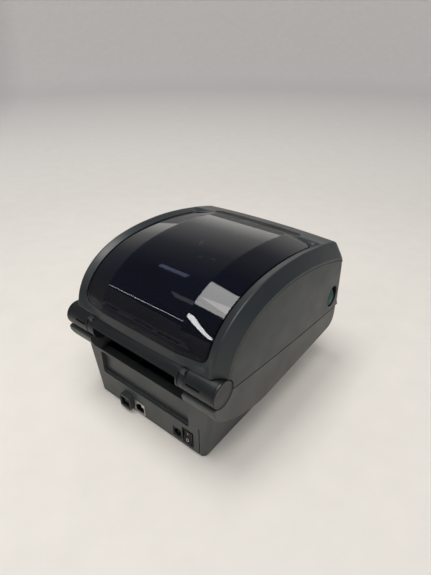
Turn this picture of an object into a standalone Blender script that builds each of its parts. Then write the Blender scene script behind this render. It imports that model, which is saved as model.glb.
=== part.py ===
"""Desktop thermal label printer, 108 mm media, modelled as separate pieces.

Sizes are in millimetres and MM turns them into metres when a mesh is made.
Origin: middle of the footprint, on the surface the rubber feet stand on.
+Y is the rear (hinge, ports, fan-fold slot), -Y the front (label exit),
+X the right-hand side of someone who faces the front, +Z up.
"""
import math

import bmesh
import bpy
import numpy as np
from mathutils import Vector

MM = 0.001

# ---------------------------------------------------------------- driving dimensions
HALF_W = 85.5                   # half of the 171 mm width
REAR, FRONT = 105.0, -105.0     # 210 mm deep
GAP = 0.4                       # between neighbouring mouldings

HINGE_Y, HINGE_Z, HINGE_R = 93.5, 86.0, 11.5
HINGE_CLEAR = 12.3              # radius that the cover keeps to the barrel
CAP_T = 2.0                     # end caps of the barrel
PIN_R = 2.0
KNUCKLE_X = 48.0                # the barrel's middle is only an upper shell up to here
LIP_RISE = 4.0                  # lower edge of that shell over the hinge axis
NOTCH_X = (50.0, 57.0)          # notch in which the cover's lug turns
LUG_R, LUG_EYE = 11.2, 4.6
LUG_FAN = (-48.0, 78.0)         # the lug fills the barrel's outline between these angles
OPEN_ANGLE = 88.0

CREASE_X = 76.6                 # crease between the cover's top and its chamfer
CREASE_PEAK = (5.0, 150.1)      # top of the crease seen from the side
ARCH_FOOT = (97.5, 86.0)        # where the arch would reach the hinge level
ARCH_POWER = 2.4                # superellipse exponent of the rear arch
CREASE_NOSE = (-97.0, 133.0)    # where the top slope meets the front face
NOSE_SLOPE = 0.30
CHAMFER_DROP = (10.4, 15.0)     # depth of the side chamfer: rear and top, front
CROWN = 1.9                     # rise of the top's middle over the crease
CORNER = 9.0                    # rounding between top slope and front face
EDGE_R = 3.0                    # rounding of the front's upright edges
FRONT_BOW = 2.6                 # the front face is bowed in plan
FRONT_LEAN = 0.06               # and leans back above the seam
BULGE_Z = 68.0

WALL = 2.4
SIDE_WALL = 3.2
PANEL_T = 1.6
PANEL_RIM = 1.0

WINDOW_X = 69.0
WINDOW_RIDGE_X = 42.0           # ridge between the window's middle and its side facets
WINDOW_EDGE_DROP = 3.0          # side edge of the window under the crease
WINDOW_T = 2.4
WINDOW_Z0 = 105.0               # lower rear edge
WINDOW_Y1 = -60.0               # front edge
WINDOW_CORNER = 7.0
SHELF_Y, SHELF_Z = (79.0, 96.2), (98.9, 100.3)      # inner shelf under the window
SHELF_SLOTS = ((-33.0, -9.0), (-4.0, 19.0), (39.0, 57.0))

SEAM = ((84.0, 83.0), (-8.0, 70.2), (-102.0, 61.0))     # split line, side view

TUB_X0 = 66.8                   # half width at the floor
TUB_TAPER = 0.163
TUB_REAR = 94.9
TUB_R = 5.0
BASE_Z = 1.6
REAR_WALL = 6.4
SLOT_X = 54.5                   # fan-fold slot
SLOT_Z = 58.5
RECESS_X, RECESS_Z, RECESS_D = (-50.5, 57.5), (29.5, 53.5), 4.0

PLATEN = (-86.0, 60.0)
PLATEN_R, PLATEN_X = 9.0, 56.0
SHAFT_R = 3.0
EXIT_X, EXIT_Z = 59.0, 77.0     # notch in the cover's front wall

BAY_Y, BAY_Z, BAY_R = 15.0, 82.0, 66.0      # half-round bay for a 127 mm roll
TRAY_X, TRAY_T, TRAY_LEDGE = 61.0, 2.0, 58.0
LEGS = ((-52.0, -60.0), (22.0, -60.0), (-52.0, 74.0), (52.0, 74.0))
FEET = ((-54.0, -48.0), (54.0, -48.0), (-54.0, 62.0), (54.0, 62.0))

LATCH = (-84.0, 80.0)           # opening of the side latch, y and z
LATCH_RY, LATCH_RZ = 9.5, 11.5
BUTTON_Y = -82.3
BUTTON_RY, BUTTON_RZ = 6.8, 9.6

HEAD_PIVOT = (-66.0, 90.0)
FEED = (52.0, 112.0)            # feed button on the front face, x and z
FEED_R = 7.0

ROLL_HUB_R = 12.4               # for a 25.4 mm core
HOLDER_X = 56.4                 # inner face of a roll holder at rest
RACK_MODULE, RACK_TEETH = 1.0, 14
GEAR_MODULE = 0.8
GEAR_X, GEAR_W = 65.8, 3.0
PLATEN_TEETH, IDLER_TEETH, MOTOR_TEETH = 20, 28, 12
TRAIN_ANGLE = math.radians(-40.0)           # the gear centres run back and down

PORTS_Z = 10.0
USB_X, LAN_X, DC_X, SWITCH_X = 25.4, 10.3, -36.6, -48.8
SWITCH_Z = 13.8

# ---------------------------------------------------------------- materials
FINISHES = {
    "shell": ((0.082, 0.088, 0.084), 0.55, 0.0),
    "panel": ((0.098, 0.103, 0.096), 0.6, 0.0),
    "smoked": ((0.01, 0.011, 0.016), 0.06, 0.0),
    "black_plastic": ((0.012, 0.012, 0.013), 0.5, 0.0),
    "inner_grey": ((0.11, 0.115, 0.12), 0.6, 0.0),
    "teal": ((0.0, 0.12, 0.105), 0.4, 0.0),
    "rubber": ((0.015, 0.015, 0.015), 0.85, 0.0),
    "steel": ((0.55, 0.55, 0.56), 0.3, 1.0),
    "zinc": ((0.6, 0.58, 0.54), 0.35, 1.0),
    "white_nylon": ((0.75, 0.74, 0.7), 0.5, 0.0),
    "board": ((0.01, 0.09, 0.03), 0.5, 0.0),
    "light_pipe": ((0.5, 0.75, 0.55), 0.3, 0.0),
    "ceramic": ((0.2, 0.16, 0.12), 0.3, 0.0),
}


def material(finish):
    """The named Principled material, made once."""
    found = bpy.data.materials.get(finish)
    if found:
        return found
    colour, roughness, metallic = FINISHES[finish]
    made = bpy.data.materials.new(finish)
    made.use_nodes = True
    shader = made.node_tree.nodes["Principled BSDF"]
    shader.inputs["Base Color"].default_value = (*colour, 1.0)
    shader.inputs["Roughness"].default_value = roughness
    shader.inputs["Metallic"].default_value = metallic
    return made


# ---------------------------------------------------------------- solid helpers
def solid(name, verts, faces, finish):
    """A closed mesh object from points in millimetres, its faces turned outwards."""
    mesh = bpy.data.meshes.new(name)
    mesh.from_pydata([Vector(v) * MM for v in verts], [], faces)
    work = bmesh.new()
    work.from_mesh(mesh)
    bmesh.ops.recalc_face_normals(work, faces=work.faces)
    work.to_mesh(mesh)
    work.free()
    mesh.shade_smooth()
    mesh.set_sharp_from_angle(angle=math.radians(32))
    mesh.materials.append(material(finish))
    made = bpy.data.objects.new(name, mesh)
    bpy.context.scene.collection.objects.link(made)
    return made


def loft(name, rings, finish):
    """Skin over equal-length closed rings, capped at both ends."""
    count = len(rings[0])
    verts = [point for ring in rings for point in ring]
    faces = [tuple(range(count)), tuple(range(len(verts) - count, len(verts)))]
    for k in range(len(rings) - 1):
        for i in range(count):
            a, b = k * count + i, k * count + (i + 1) % count
            faces.append((a, b, b + count, a + count))
    return solid(name, verts, faces, finish)


def spread(axis, along, outline):
    """A flat outline placed in 3-D at one position along X, Y or Z."""
    if axis == "X":
        return [(along, a, b) for a, b in outline]
    if axis == "Y":
        return [(a, along, b) for a, b in outline]
    return [(a, b, along) for a, b in outline]


def prism(name, axis, outline, lo, hi, finish="shell"):
    return loft(name, [spread(axis, lo, outline), spread(axis, hi, outline)], finish)


def box(name, x, y, z, finish="shell"):
    outline = [(x[0], y[0]), (x[1], y[0]), (x[1], y[1]), (x[0], y[1])]
    return prism(name, "Z", outline, z[0], z[1], finish)


def arc(centre, radius, start, end, steps):
    """Points on a circle or ellipse, angles in degrees."""
    rx, ry = radius if isinstance(radius, tuple) else (radius, radius)
    angles = [math.radians(start + (end - start) * k / steps) for k in range(steps + 1)]
    return [(centre[0] + rx * math.cos(a), centre[1] + ry * math.sin(a)) for a in angles]


def circle(centre, radius, count=16):
    return arc(centre, radius, 0.0, 360.0, count)[:-1]


def rounded(x, y, radius, steps=4):
    """Rectangle with round corners."""
    (x0, x1), (y0, y1) = x, y
    corners = ((x1, y1, 0), (x0, y1, 90), (x0, y0, 180), (x1, y0, 270))
    points = []
    for cx, cy, start in corners:
        centre = (cx - math.copysign(radius, cx - (x0 + x1) / 2),
                  cy - math.copysign(radius, cy - (y0 + y1) / 2))
        points += arc(centre, radius, start, start + 90, steps)
    return points


def turned(name, axis, centre, profile, finish, count=16):
    """Body of revolution: profile is (radius, position along the axis)."""
    rings = [spread(axis, along, circle(centre, radius, count)) for radius, along in profile]
    return loft(name, rings, finish)


def rod(name, axis, centre, radius, lo, hi, finish, count=16):
    return prism(name, axis, circle(centre, radius, count), lo, hi, finish)


def combine(target, tools, operation="DIFFERENCE"):
    """Apply Boolean operations to the target and remove the tools."""
    for tool in tools:
        step = target.modifiers.new("step", "BOOLEAN")
        step.operation = operation
        step.solver = "EXACT"
        step.object = tool
        graph = bpy.context.evaluated_depsgraph_get()
        mesh = bpy.data.meshes.new_from_object(target.evaluated_get(graph))
        target.modifiers.clear()
        target.data = mesh
        bpy.data.objects.remove(tool)
    return target


def join(target, *tools):
    return combine(target, tools, "UNION")


def cut(target, *tools):
    return combine(target, tools)


def pivot(obj, x, y, z):
    """Move the object's origin, and not its shape, to a point on its joint's axis."""
    place = Vector((x, y, z)) * MM
    for vertex in obj.data.vertices:
        vertex.co -= place
    obj.location = place
    return obj


# ---------------------------------------------------------------- outlines
def bezier(a, b, c, steps):
    """Quadratic curve from a to c, steering by b."""
    result = []
    for k in range(steps + 1):
        t = k / steps
        result.append(tuple((1 - t) ** 2 * p + 2 * t * (1 - t) * q + t * t * r
                            for p, q, r in zip(a, b, c)))
    return result


def crease_line():
    """Crease of the cover in the side view, from the hinge over the top to the nose."""
    span_y, span_z = ARCH_FOOT[0] - CREASE_PEAK[0], CREASE_PEAK[1] - ARCH_FOOT[1]
    rear = []
    for k in range(60):
        angle = math.radians(90.0 * k / 60)
        rear.append((CREASE_PEAK[0] + span_y * math.cos(angle) ** (2 / ARCH_POWER),
                     ARCH_FOOT[1] + span_z * math.sin(angle) ** (2 / ARCH_POWER)))
    steer = (CREASE_NOSE[0] + (CREASE_PEAK[1] - CREASE_NOSE[1]) / NOSE_SLOPE, CREASE_PEAK[1])
    front = bezier(CREASE_PEAK, steer, CREASE_NOSE, 40)
    tip = (CREASE_NOSE[0] - 30.0, CREASE_NOSE[1] - 30.0 * NOSE_SLOPE)
    return np.array(rear + front + [tip])


CREASE = crease_line()
CREASE_S = np.concatenate([[0.0], np.cumsum(np.hypot(*np.diff(CREASE, axis=0).T))])


def along_crease(s, lift=0.0):
    """Point at arc length s of the crease line, lifted along its outward normal."""
    at = [np.interp(s, CREASE_S, CREASE[:, i]) for i in (0, 1)]
    ahead = [np.interp(s + 1.0, CREASE_S, CREASE[:, i]) for i in (0, 1)]
    behind = [np.interp(s - 1.0, CREASE_S, CREASE[:, i]) for i in (0, 1)]
    ty, tz = ahead[0] - behind[0], ahead[1] - behind[1]
    length = math.hypot(ty, tz)
    return at[0] + tz / length * lift, at[1] - ty / length * lift


def crease_s(column, value):
    """Arc length at which the crease line passes a given y (column 0) or z (column 1)."""
    values = CREASE[:, column]
    rear = int(np.argmax(CREASE[:, 1]))
    if column == 1:
        return float(np.interp(value, values[:rear], CREASE_S[:rear]))
    return float(np.interp(-value, -values, CREASE_S))


WINDOW_S = (crease_s(1, WINDOW_Z0), crease_s(0, WINDOW_Y1))
PEAK_S = crease_s(0, CREASE_PEAK[0])
NOSE_S = crease_s(0, CREASE_NOSE[0])


def window_lift(x):
    """Outer surface of the window over the crease: flat middle and sloping facets."""
    return float(np.interp(abs(x), (WINDOW_RIDGE_X, WINDOW_X), (CROWN, -WINDOW_EDGE_DROP)))


def cover_lift(x, s):
    """Outer surface of the cover over the crease line."""
    ax = abs(x)
    if ax >= CREASE_X:
        drop = np.interp(s, (PEAK_S, NOSE_S), CHAMFER_DROP)
        reach = (CREASE_X, HALF_W - 1.6, HALF_W - 0.4, HALF_W)
        return -float(drop * np.interp(ax, reach, (0.0, 0.78, 0.9, 1.0)))
    crown = CROWN * (1 - (ax / CREASE_X) ** 2)
    beside = window_lift(x) * (1 - max(0.0, ax - WINDOW_X) / (CREASE_X - WINDOW_X))
    reach = (WINDOW_S[0] - 6, WINDOW_S[0] - 1, WINDOW_S[1] + 1, WINDOW_S[1] + 6)
    zone = float(np.interp(s, reach, (0.0, 1.0, 1.0, 0.0)))
    return crown + (beside - crown) * zone


def front_y(x, z):
    """Front face of the cover: bowed in plan, leaning back above its bulge."""
    edge = max(0.0, abs(x) - (HALF_W - EDGE_R))
    round_off = EDGE_R - math.sqrt(EDGE_R ** 2 - edge ** 2)
    bow = FRONT_BOW * (x / HALF_W) ** 2
    return FRONT + bow + FRONT_LEAN * max(0.0, z - BULGE_Z) + round_off


def seam_points(steps, shift=0.0):
    """Split line between base and cover, front to rear, shifted up or down."""
    mid = SEAM[1]
    steer = (mid[0], 2 * mid[1] - (SEAM[0][1] + SEAM[2][1]) / 2)
    return [(y, z + shift) for y, z in bezier(SEAM[2], steer, SEAM[0], steps)]


def cover_ring(x, inset, x_at):
    """Closed outline of the cover at one station across the width."""
    limit = front_y(x, 120.0) + CORNER + inset
    s_values = np.linspace(0.0, CREASE_S[-1], 400)
    ys = [along_crease(s, cover_lift(x, s) - inset)[0] for s in s_values]
    s_end = float(s_values[next(i for i, y in enumerate(ys) if y < limit)])
    beside = np.linspace(WINDOW_S[0] - 1, WINDOW_S[1] + 1, 18)
    ahead_of = np.linspace(WINDOW_S[1] + 6, s_end, 5)
    spots = [0.0, WINDOW_S[0] - 6, *beside, *ahead_of]
    top = [along_crease(s, cover_lift(x, s) - inset) for s in spots]
    ahead = along_crease(s_end + 1.0, cover_lift(x, s_end + 1.0) - inset)
    slope = (top[-1][1] - ahead[1]) / (top[-1][0] - ahead[0])
    corner_z = top[-1][1] - slope * (top[-1][0] - front_y(x, 120.0) - inset)
    low = corner_z - CORNER
    nose = bezier(top[-1], (front_y(x, corner_z) + inset, corner_z),
                  (front_y(x, low) + inset, low), 4)[1:]
    face = [(front_y(x, z) + inset, z) for z in (BULGE_Z + 20, BULGE_Z)]
    split = seam_points(8, 0.5 * GAP if inset == 0 else -12.0)
    split[0] = (front_y(x, SEAM[2][1]) + inset, split[0][1])
    ring = top + nose + face + split
    return spread("X", x_at, [(y, z) for y, z in ring])


def cover_stations(inner=False):
    half = [0, WINDOW_RIDGE_X, WINDOW_X + 0.5, CREASE_X, HALF_W - 1.6, HALF_W - 0.4, HALF_W]
    if inner:
        half.remove(HALF_W - 0.4)
    return [-x for x in reversed(half[1:])] + half


def arch_skin(name, half_w, s_range, corner, outer, inner, finish, steps=24, ridges=()):
    """Curved sheet on the arch, between two lift functions, with rounded corners."""
    bends = [half_w - corner * (1 - math.sin(math.radians(a))) for a in (0, 40, 90)]
    half = sorted(set([0.0, *ridges, *bends]))
    rings = []
    for x in [-v for v in reversed(half[1:])] + half:
        over = max(0.0, abs(x) - (half_w - corner))
        trim = corner - math.sqrt(max(0.0, corner ** 2 - over ** 2))
        trim = min(trim, corner * 0.98)
        spots = np.linspace(s_range[0] + trim, s_range[1] - trim, steps)
        above = [along_crease(s, outer(x, s)) for s in spots]
        below = [along_crease(s, inner(x, s)) for s in reversed(spots)]
        rings.append(spread("X", x, above + below))
    return loft(name, rings, finish)


# ---------------------------------------------------------------- cover
def cover_block(name, inset, x_half, inner):
    rings = [cover_ring(x, inset, x * x_half / HALF_W) for x in cover_stations(inner)]
    return loft(name, rings, "shell")


def side_outline(rim, low):
    """Outline of a side panel: inside the chamfer, down to the split line."""
    ring = [point[1:] for point in cover_ring(HALF_W, 0.0, HALF_W)]
    top = ring[:-9]
    moved = []
    for k, point in enumerate(top):
        before, after = top[max(k - 1, 0)], top[min(k + 1, len(top) - 1)]
        ty, tz = after[0] - before[0], after[1] - before[1]
        length = math.hypot(ty, tz)
        keep = rim - PANEL_RIM if k > 24 else rim
        moved.append((point[0] - tz / length * keep, point[1] + ty / length * keep))
    return moved + seam_points(8, low)


def hinge_cylinder(name, radius, lo=-HALF_W - 5, hi=HALF_W + 5):
    return rod(name, "X", (HINGE_Y, HINGE_Z), radius, lo, hi, "shell", 36)


def make_cover():
    """The lid: a shell with the window opening, side pockets, front notch and hinge lugs."""
    cover = cover_block("cover_frame", 0.0, HALF_W, False)
    cut(cover, cover_block("hollow", WALL, HALF_W - SIDE_WALL, True))
    cut(cover, arch_skin("opening", WINDOW_X + 0.6, WINDOW_S, WINDOW_CORNER + 0.6,
                         lambda x, s: 12.0, lambda x, s: -16.0, "shell"))
    cut(cover, arch_skin("plate_pocket", 51.0, PLATE_S, 6.6, lambda x, s: 6.0,
                         lambda x, s: cover_lift(x, s) - 1.3, "shell", 6, ()))
    cut(cover, hinge_cylinder("clear", HINGE_CLEAR))
    join(cover, make_shelf())
    cut(cover, rod("bore", "X", (HINGE_Y, HINGE_Z), PIN_R + 0.08, -NOTCH_X[1], NOTCH_X[1], "shell"))
    pocket = side_outline(PANEL_RIM, -14.0)
    pocket = [(y - 4.0 if y < -96.0 else y, z) for y, z in pocket]
    for side in (-1, 1):
        inner_x = side * (HALF_W - PANEL_T - GAP)
        cut(cover, prism("pocket", "X", pocket, inner_x, side * (HALF_W + 4)))
        hole = circle(LATCH, (LATCH_RY, LATCH_RZ), 20)
        cut(cover, prism("hole", "X", hole, side * (HALF_W - 8), side * (HALF_W + 4)))
    cut(cover, box("exit", (-EXIT_X, EXIT_X), (FRONT - 5, FRONT + 16), (40.0, EXIT_Z)))
    cut(cover, rod("feed_hole", "Y", FEED, FEED_R + 3.4, FRONT - 5, FRONT + 14, "shell"))
    return pivot(cover, 0.0, HINGE_Y, HINGE_Z)


def make_shelf():
    """Slotted shelf inside the rear wall, seen through the window, with both hinge lugs."""
    outline = [(60.0, SHELF_Y[0]), (60.0, SHELF_Y[1]), (-57.0, SHELF_Y[1]), (-57.0, 91.0),
               (-36.0, SHELF_Y[0])]
    shelf = prism("shelf", "Z", outline, *SHELF_Z)
    for slot in SHELF_SLOTS:
        cut(shelf, box("slot", slot, (SHELF_Y[0] + 1.6, SHELF_Y[0] + 4.8), (90.0, 110.0)))
    for side in (-1, 1):
        lug_x = sorted((side * (NOTCH_X[0] + GAP), side * (NOTCH_X[1] - GAP)))
        join(shelf, prism("lug", "X", lug_outline(), *lug_x))
    return shelf


def lug_outline():
    """Hinge lug in the side view: a fan that fills the barrel's notch, and a neck above."""
    axis = (HINGE_Y, HINGE_Z)
    eye = arc(axis, LUG_EYE, 100.0, 360.0 + LUG_FAN[0], 8)
    fan = arc(axis, LUG_R, *LUG_FAN, 9)
    neck_z = (SHELF_Z[0] + SHELF_Z[1]) / 2
    return eye + fan + [(HINGE_Y + 2.4, HINGE_Z + 12.5), (HINGE_Y + 2.2, neck_z),
                        (HINGE_Y - 1.0, neck_z), (HINGE_Y - 2.0, HINGE_Z + 11.0)]


def notch_outline():
    """Room that the lug needs in the barrel, from the closed cover to the open one."""
    axis = (HINGE_Y, HINGE_Z)
    low, high = LUG_FAN[0] - OPEN_ANGLE - 4.0, 104.0
    return arc(axis, HINGE_R + 2.0, low, high, 14) + arc(axis, LUG_EYE + GAP, high, low + 360.0, 6)


PLATE_S = (crease_s(0, -62.8), crease_s(0, -76.8))


def make_cover_trim():
    """Window, its seal, the label plate and the two side panels."""
    seal = 1.6

    def under_window(x, s):
        return window_lift(min(abs(x), WINDOW_X)) - WINDOW_T - 2 * GAP

    window = arch_skin("window", WINDOW_X, (WINDOW_S[0] + 0.6, WINDOW_S[1] - 0.6), WINDOW_CORNER,
                       lambda x, s: window_lift(x), lambda x, s: window_lift(x) - WINDOW_T,
                       "smoked", 20, (WINDOW_RIDGE_X,))
    ring = arch_skin("window_seal", WINDOW_X + 3.0, (WINDOW_S[0] - 3, WINDOW_S[1] + 3),
                     WINDOW_CORNER + 3, under_window, lambda x, s: under_window(x, s) - seal,
                     "rubber", 20, (WINDOW_RIDGE_X,))
    cut(ring, arch_skin("inside", WINDOW_X - 4.0, (WINDOW_S[0] + 4, WINDOW_S[1] - 4),
                        WINDOW_CORNER - 3, lambda x, s: 8.0, lambda x, s: -16.0, "rubber"))
    plate = arch_skin("label_plate", 50.6, (PLATE_S[0] + 0.4, PLATE_S[1] - 0.4), 6.2,
                      lambda x, s: cover_lift(x, s) - 0.2, lambda x, s: cover_lift(x, s) - 1.0,
                      "black_plastic", 6)
    made = [window, ring, plate]
    for side, word in ((-1, "left"), (1, "right")):
        outer_x = side * HALF_W
        panel = prism(f"side_panel_{word}", "X", side_outline(PANEL_RIM + GAP, GAP),
                      outer_x - side * PANEL_T, outer_x, "panel")
        cut(panel, hinge_cylinder("clear", HINGE_CLEAR))
        hole = circle(LATCH, (LATCH_RY, LATCH_RZ), 20)
        cut(panel, prism("hole", "X", hole, outer_x - 4, outer_x + 4))
        made.append(panel)
    for obj in made:
        pivot(obj, 0.0, HINGE_Y, HINGE_Z)


def make_feed_button():
    """Round feed button in the front face, inside the ring of its status light."""
    face = front_y(FEED[0], FEED[1])
    ring = rod("status_ring", "Y", FEED, FEED_R + 3.0, face + 0.2, face + 4.0, "light_pipe")
    cut(ring, rod("inside", "Y", FEED, FEED_R + 0.5, face - 3, face + 8, "shell"))
    button = turned("feed_button", "Y", FEED, ((FEED_R - 1.0, face - 0.6), (FEED_R, face + 0.2),
                                               (FEED_R, face + 6.5), (FEED_R - 3, face + 6.5),
                                               (FEED_R - 3, face + 9.0)), "shell")
    return ring, button


# ---------------------------------------------------------------- side latches
def make_latch():
    """Both release buttons on one bar, whose hooks hold the cover down at the front."""
    bar_z, arm_x = 104.0, 73.0
    arm_y = (-81.0, -76.0)
    bar = box("latch_bar", (-arm_x - 3, arm_x + 3), (-80.0, -76.0), (bar_z, bar_z + 5), "zinc")
    for side in (-1, 1):
        x_range = sorted((side * arm_x, side * (arm_x + 3)))
        join(bar, box("arm", x_range, arm_y, (52.0, bar_z + 3)))
        join(bar, box("toe", x_range, (arm_y[1] - 1, arm_y[1] + 2.5), (52.0, 55.5)))
    pivot(bar, 0.0, arm_y[1], bar_z)
    for side, word in ((-1, "left"), (1, "right")):
        sizes = ((0.9, arm_x + 3.4), (0.9, HALF_W - 3), (0.98, HALF_W - 1.4), (0.9, HALF_W - 0.6),
                 (0.62, HALF_W - 0.2))
        rings = [spread("X", side * x, circle((BUTTON_Y, LATCH[1]), (BUTTON_RY * f, BUTTON_RZ * f)))
                 for f, x in sizes]
        pivot(loft(f"latch_button_{word}", rings, "teal"), side * HALF_W, BUTTON_Y, LATCH[1])
        catch_x = sorted((side * (arm_x - 1), side * (arm_x + 4)))
        box(f"latch_catch_{word}", catch_x, (arm_y[1] + 2.9, arm_y[1] + 9), (47.0, 60.0), "zinc")


# ---------------------------------------------------------------- print mechanism
def make_printhead():
    """Sprung print head: hanger in the cover, carrier, heat sink and ceramic strip."""
    y, z = HEAD_PIVOT
    hanger = box("head_hanger", (-64.0, 64.0), (y - 3.0, y + 12.0), (z + 9.0, z + 12.0), "zinc")
    for side in (-1, 1):
        ear_x = sorted((side * 61.0, side * 63.5))
        join(hanger, box("ear", ear_x, (y - 3.0, y + 5.0), (z - 5.0, z + 10.0)))
    cut(hanger, rod("bore", "X", (y, z), PIN_R + 0.3, -70, 70, "zinc"))
    web = [(y + 3.4, z + 3.4), (y - 3.4, z + 3.4), (y - 24.0, z - 4.0), (y - 24.0, z - 7.0),
           (y - 3.4, z - 2.0), (y + 3.4, z - 3.4)]
    carrier = prism("head_carrier", "X", web, -60.0, 60.0, "zinc")
    join(carrier, rod("pin", "X", (y, z), PIN_R, -63.3, 63.3, "zinc"))
    sink_z = PLATEN[1] + PLATEN_R + 2.3
    sink = box("heat_sink", (-56.0, 56.0), (PLATEN[0] - 11, PLATEN[0] + 9), (sink_z, z - 11.4), "steel")
    for k in range(3):
        groove_y = PLATEN[0] - 8 + 5.0 * k
        cut(sink, box("groove", (-60, 60), (groove_y, groove_y + 2), (sink_z + 3, z)))
    strip = box("print_head", (-55.0, 55.0), (PLATEN[0] - 8, PLATEN[0] + 7),
                (sink_z - 2.0, sink_z - 0.3), "ceramic")
    for obj in (carrier, sink, strip):
        pivot(obj, 0.0, y, z)
    pivot(hanger, 0.0, y, z)


def gear_outline(centre, teeth, module, phase):
    """Spur gear outline with slim straight-flanked teeth; phase turns one tooth to an angle."""
    pitch_r = teeth * module / 2
    step = 2 * math.pi / teeth
    points = []
    for k in range(teeth):
        middle = phase + k * step
        for share, radius in ((-0.27, pitch_r - 1.15 * module), (-0.10, pitch_r + 0.85 * module),
                              (0.10, pitch_r + 0.85 * module), (0.27, pitch_r - 1.15 * module)):
            angle = middle + share * step
            points.append((centre[0] + radius * math.cos(angle),
                           centre[1] + radius * math.sin(angle)))
    return points


def gear(name, centre, teeth, phase, bore):
    body = prism(name, "X", gear_outline(centre, teeth, GEAR_MODULE, phase),
                 GEAR_X, GEAR_X + GEAR_W, "white_nylon")
    cut(body, rod("bore", "X", centre, bore, GEAR_X - 2, GEAR_X + GEAR_W + 2, "steel"))
    return pivot(body, GEAR_X, *centre)


def train_centres():
    """Centres of idler and motor pinion, stepping back and down from the platen."""
    reach = (math.cos(TRAIN_ANGLE), math.sin(TRAIN_ANGLE))
    first = (PLATEN_TEETH + IDLER_TEETH) * GEAR_MODULE / 2
    second = first + (IDLER_TEETH + MOTOR_TEETH) * GEAR_MODULE / 2
    return [(PLATEN[0] + d * reach[0], PLATEN[1] + d * reach[1]) for d in (first, second)]


def make_feed_train():
    """Platen roller on its shaft, driven by a stepper motor through an idler."""
    idler, motor = train_centres()
    shaft = rod("platen_shaft", "X", PLATEN, SHAFT_R, -66.5, GEAR_X + 4.5, "steel")
    roller = rod("platen_roller", "X", PLATEN, PLATEN_R, -PLATEN_X, PLATEN_X, "rubber", 28)
    cut(roller, rod("bore", "X", PLATEN, SHAFT_R + 0.3, -70, 70, "steel"))
    for obj in (shaft, roller):
        pivot(obj, 0.0, *PLATEN)
    gear("platen_gear", PLATEN, PLATEN_TEETH, TRAIN_ANGLE, SHAFT_R + 0.3)
    half_tooth = math.pi / IDLER_TEETH
    gear("idler_gear", idler, IDLER_TEETH, TRAIN_ANGLE + math.pi + half_tooth, PIN_R + 0.3)
    motor_gap = TRAIN_ANGLE + math.pi + math.pi / MOTOR_TEETH
    idler_tooth = (TRAIN_ANGLE - (TRAIN_ANGLE + math.pi + half_tooth)) % (2 * half_tooth)
    pinion = prism("motor_pinion", "X", gear_outline(motor, MOTOR_TEETH, GEAR_MODULE,
                                                     motor_gap + turn_share(idler_tooth)),
                   GEAR_X, GEAR_X + GEAR_W, "steel")
    join(pinion, rod("shaft", "X", motor, 1.5, 50.0, GEAR_X + 1.0, "steel"))
    pivot(pinion, GEAR_X, *motor)
    body = rod("stepper_motor", "X", motor, 16.0, 40.0, 59.0, "steel", 32)
    join(body, box("ears", (57.0, 59.0), (motor[0] - 5, motor[0] + 5),
                   (motor[1] - 20, motor[1] + 17)))
    cut(body, rod("bore", "X", motor, 1.9, 48.0, 62.0, "steel"))
    make_side_frames(idler, motor)


def turn_share(idler_tooth):
    """How far the pinion turns so that its gap faces the idler's nearest tooth."""
    return -idler_tooth * IDLER_TEETH / MOTOR_TEETH


def make_side_frames(idler, motor):
    """Steel plates that carry the platen's bushes, the idler's stud and the motor."""
    outline = [(-93.5, 56.0), (-88.0, 48.5), (-80.0, 44.5), (-74.0, 30.0), (-68.0, 20.0),
               (-48.0, 20.0), (-48.0, 54.0), (-77.0, 68.0), (-93.5, 68.0)]
    for side, word in ((-1, "left"), (1, "right")):
        plate_x = sorted((side * 62.6, side * 64.2))
        plate = prism(f"side_frame_{word}", "X", outline, *plate_x, "zinc")
        if side > 0:
            join(plate, rod("stud", "X", idler, PIN_R, 63.0, GEAR_X + 4.5, "zinc"))
            cut(plate, rod("bore", "X", motor, 3.0, 60.0, 66.0, "zinc"))
        cut(plate, rod("seat", "X", PLATEN, 6.3, side * 60.0, side * 65.5, "zinc"))
        bush = rod(f"platen_bush_{word}", "X", PLATEN, 6.0, *sorted((side * 61.6, side * 65.4)),
                   "white_nylon")
        cut(bush, rod("bore", "X", PLATEN, SHAFT_R + 0.08, side * 60, side * 67, "zinc"))


# ---------------------------------------------------------------- base
def tub_ring(z, inset=0.0):
    """Plan outline of the lower tub at one height."""
    half = TUB_X0 + TUB_TAPER * z - inset
    front = float(np.interp(z, (0.0, 38.0, 62.0), (-70.0, -89.0, -94.0))) + inset
    rear = TUB_REAR - (REAR_WALL if inset else 0.0)
    return spread("Z", z, rounded((-half, half), (front, rear), TUB_R))


def belt_ring(x, drop, inset):
    """Side view of the belt under the split line: its lower edge sweeps up to the hinge."""
    bow = FRONT_BOW * (x / HALF_W) ** 2
    front = FRONT + 4.4 + bow + inset
    seam = seam_points(8, -0.5 * GAP)
    seam[0] = (front, SEAM[2][1] - 0.5 * GAP)
    chin = bezier((front, 54.0), (front, 40.0 - drop), (front + 14.0, 38.8 - drop + inset), 4)
    sweep = bezier((32.0, 36.0 - drop + inset), (68.0, 37.0 - drop + inset),
                   (98.0 - inset, 61.5), 7)
    heel = bezier((98.0 - inset, 61.5), (105.0 - inset, 69.0), (104.8 - inset, 76.0), 3)[1:]
    return spread("X", x, seam[::-1] + chin + sweep + heel)


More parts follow.
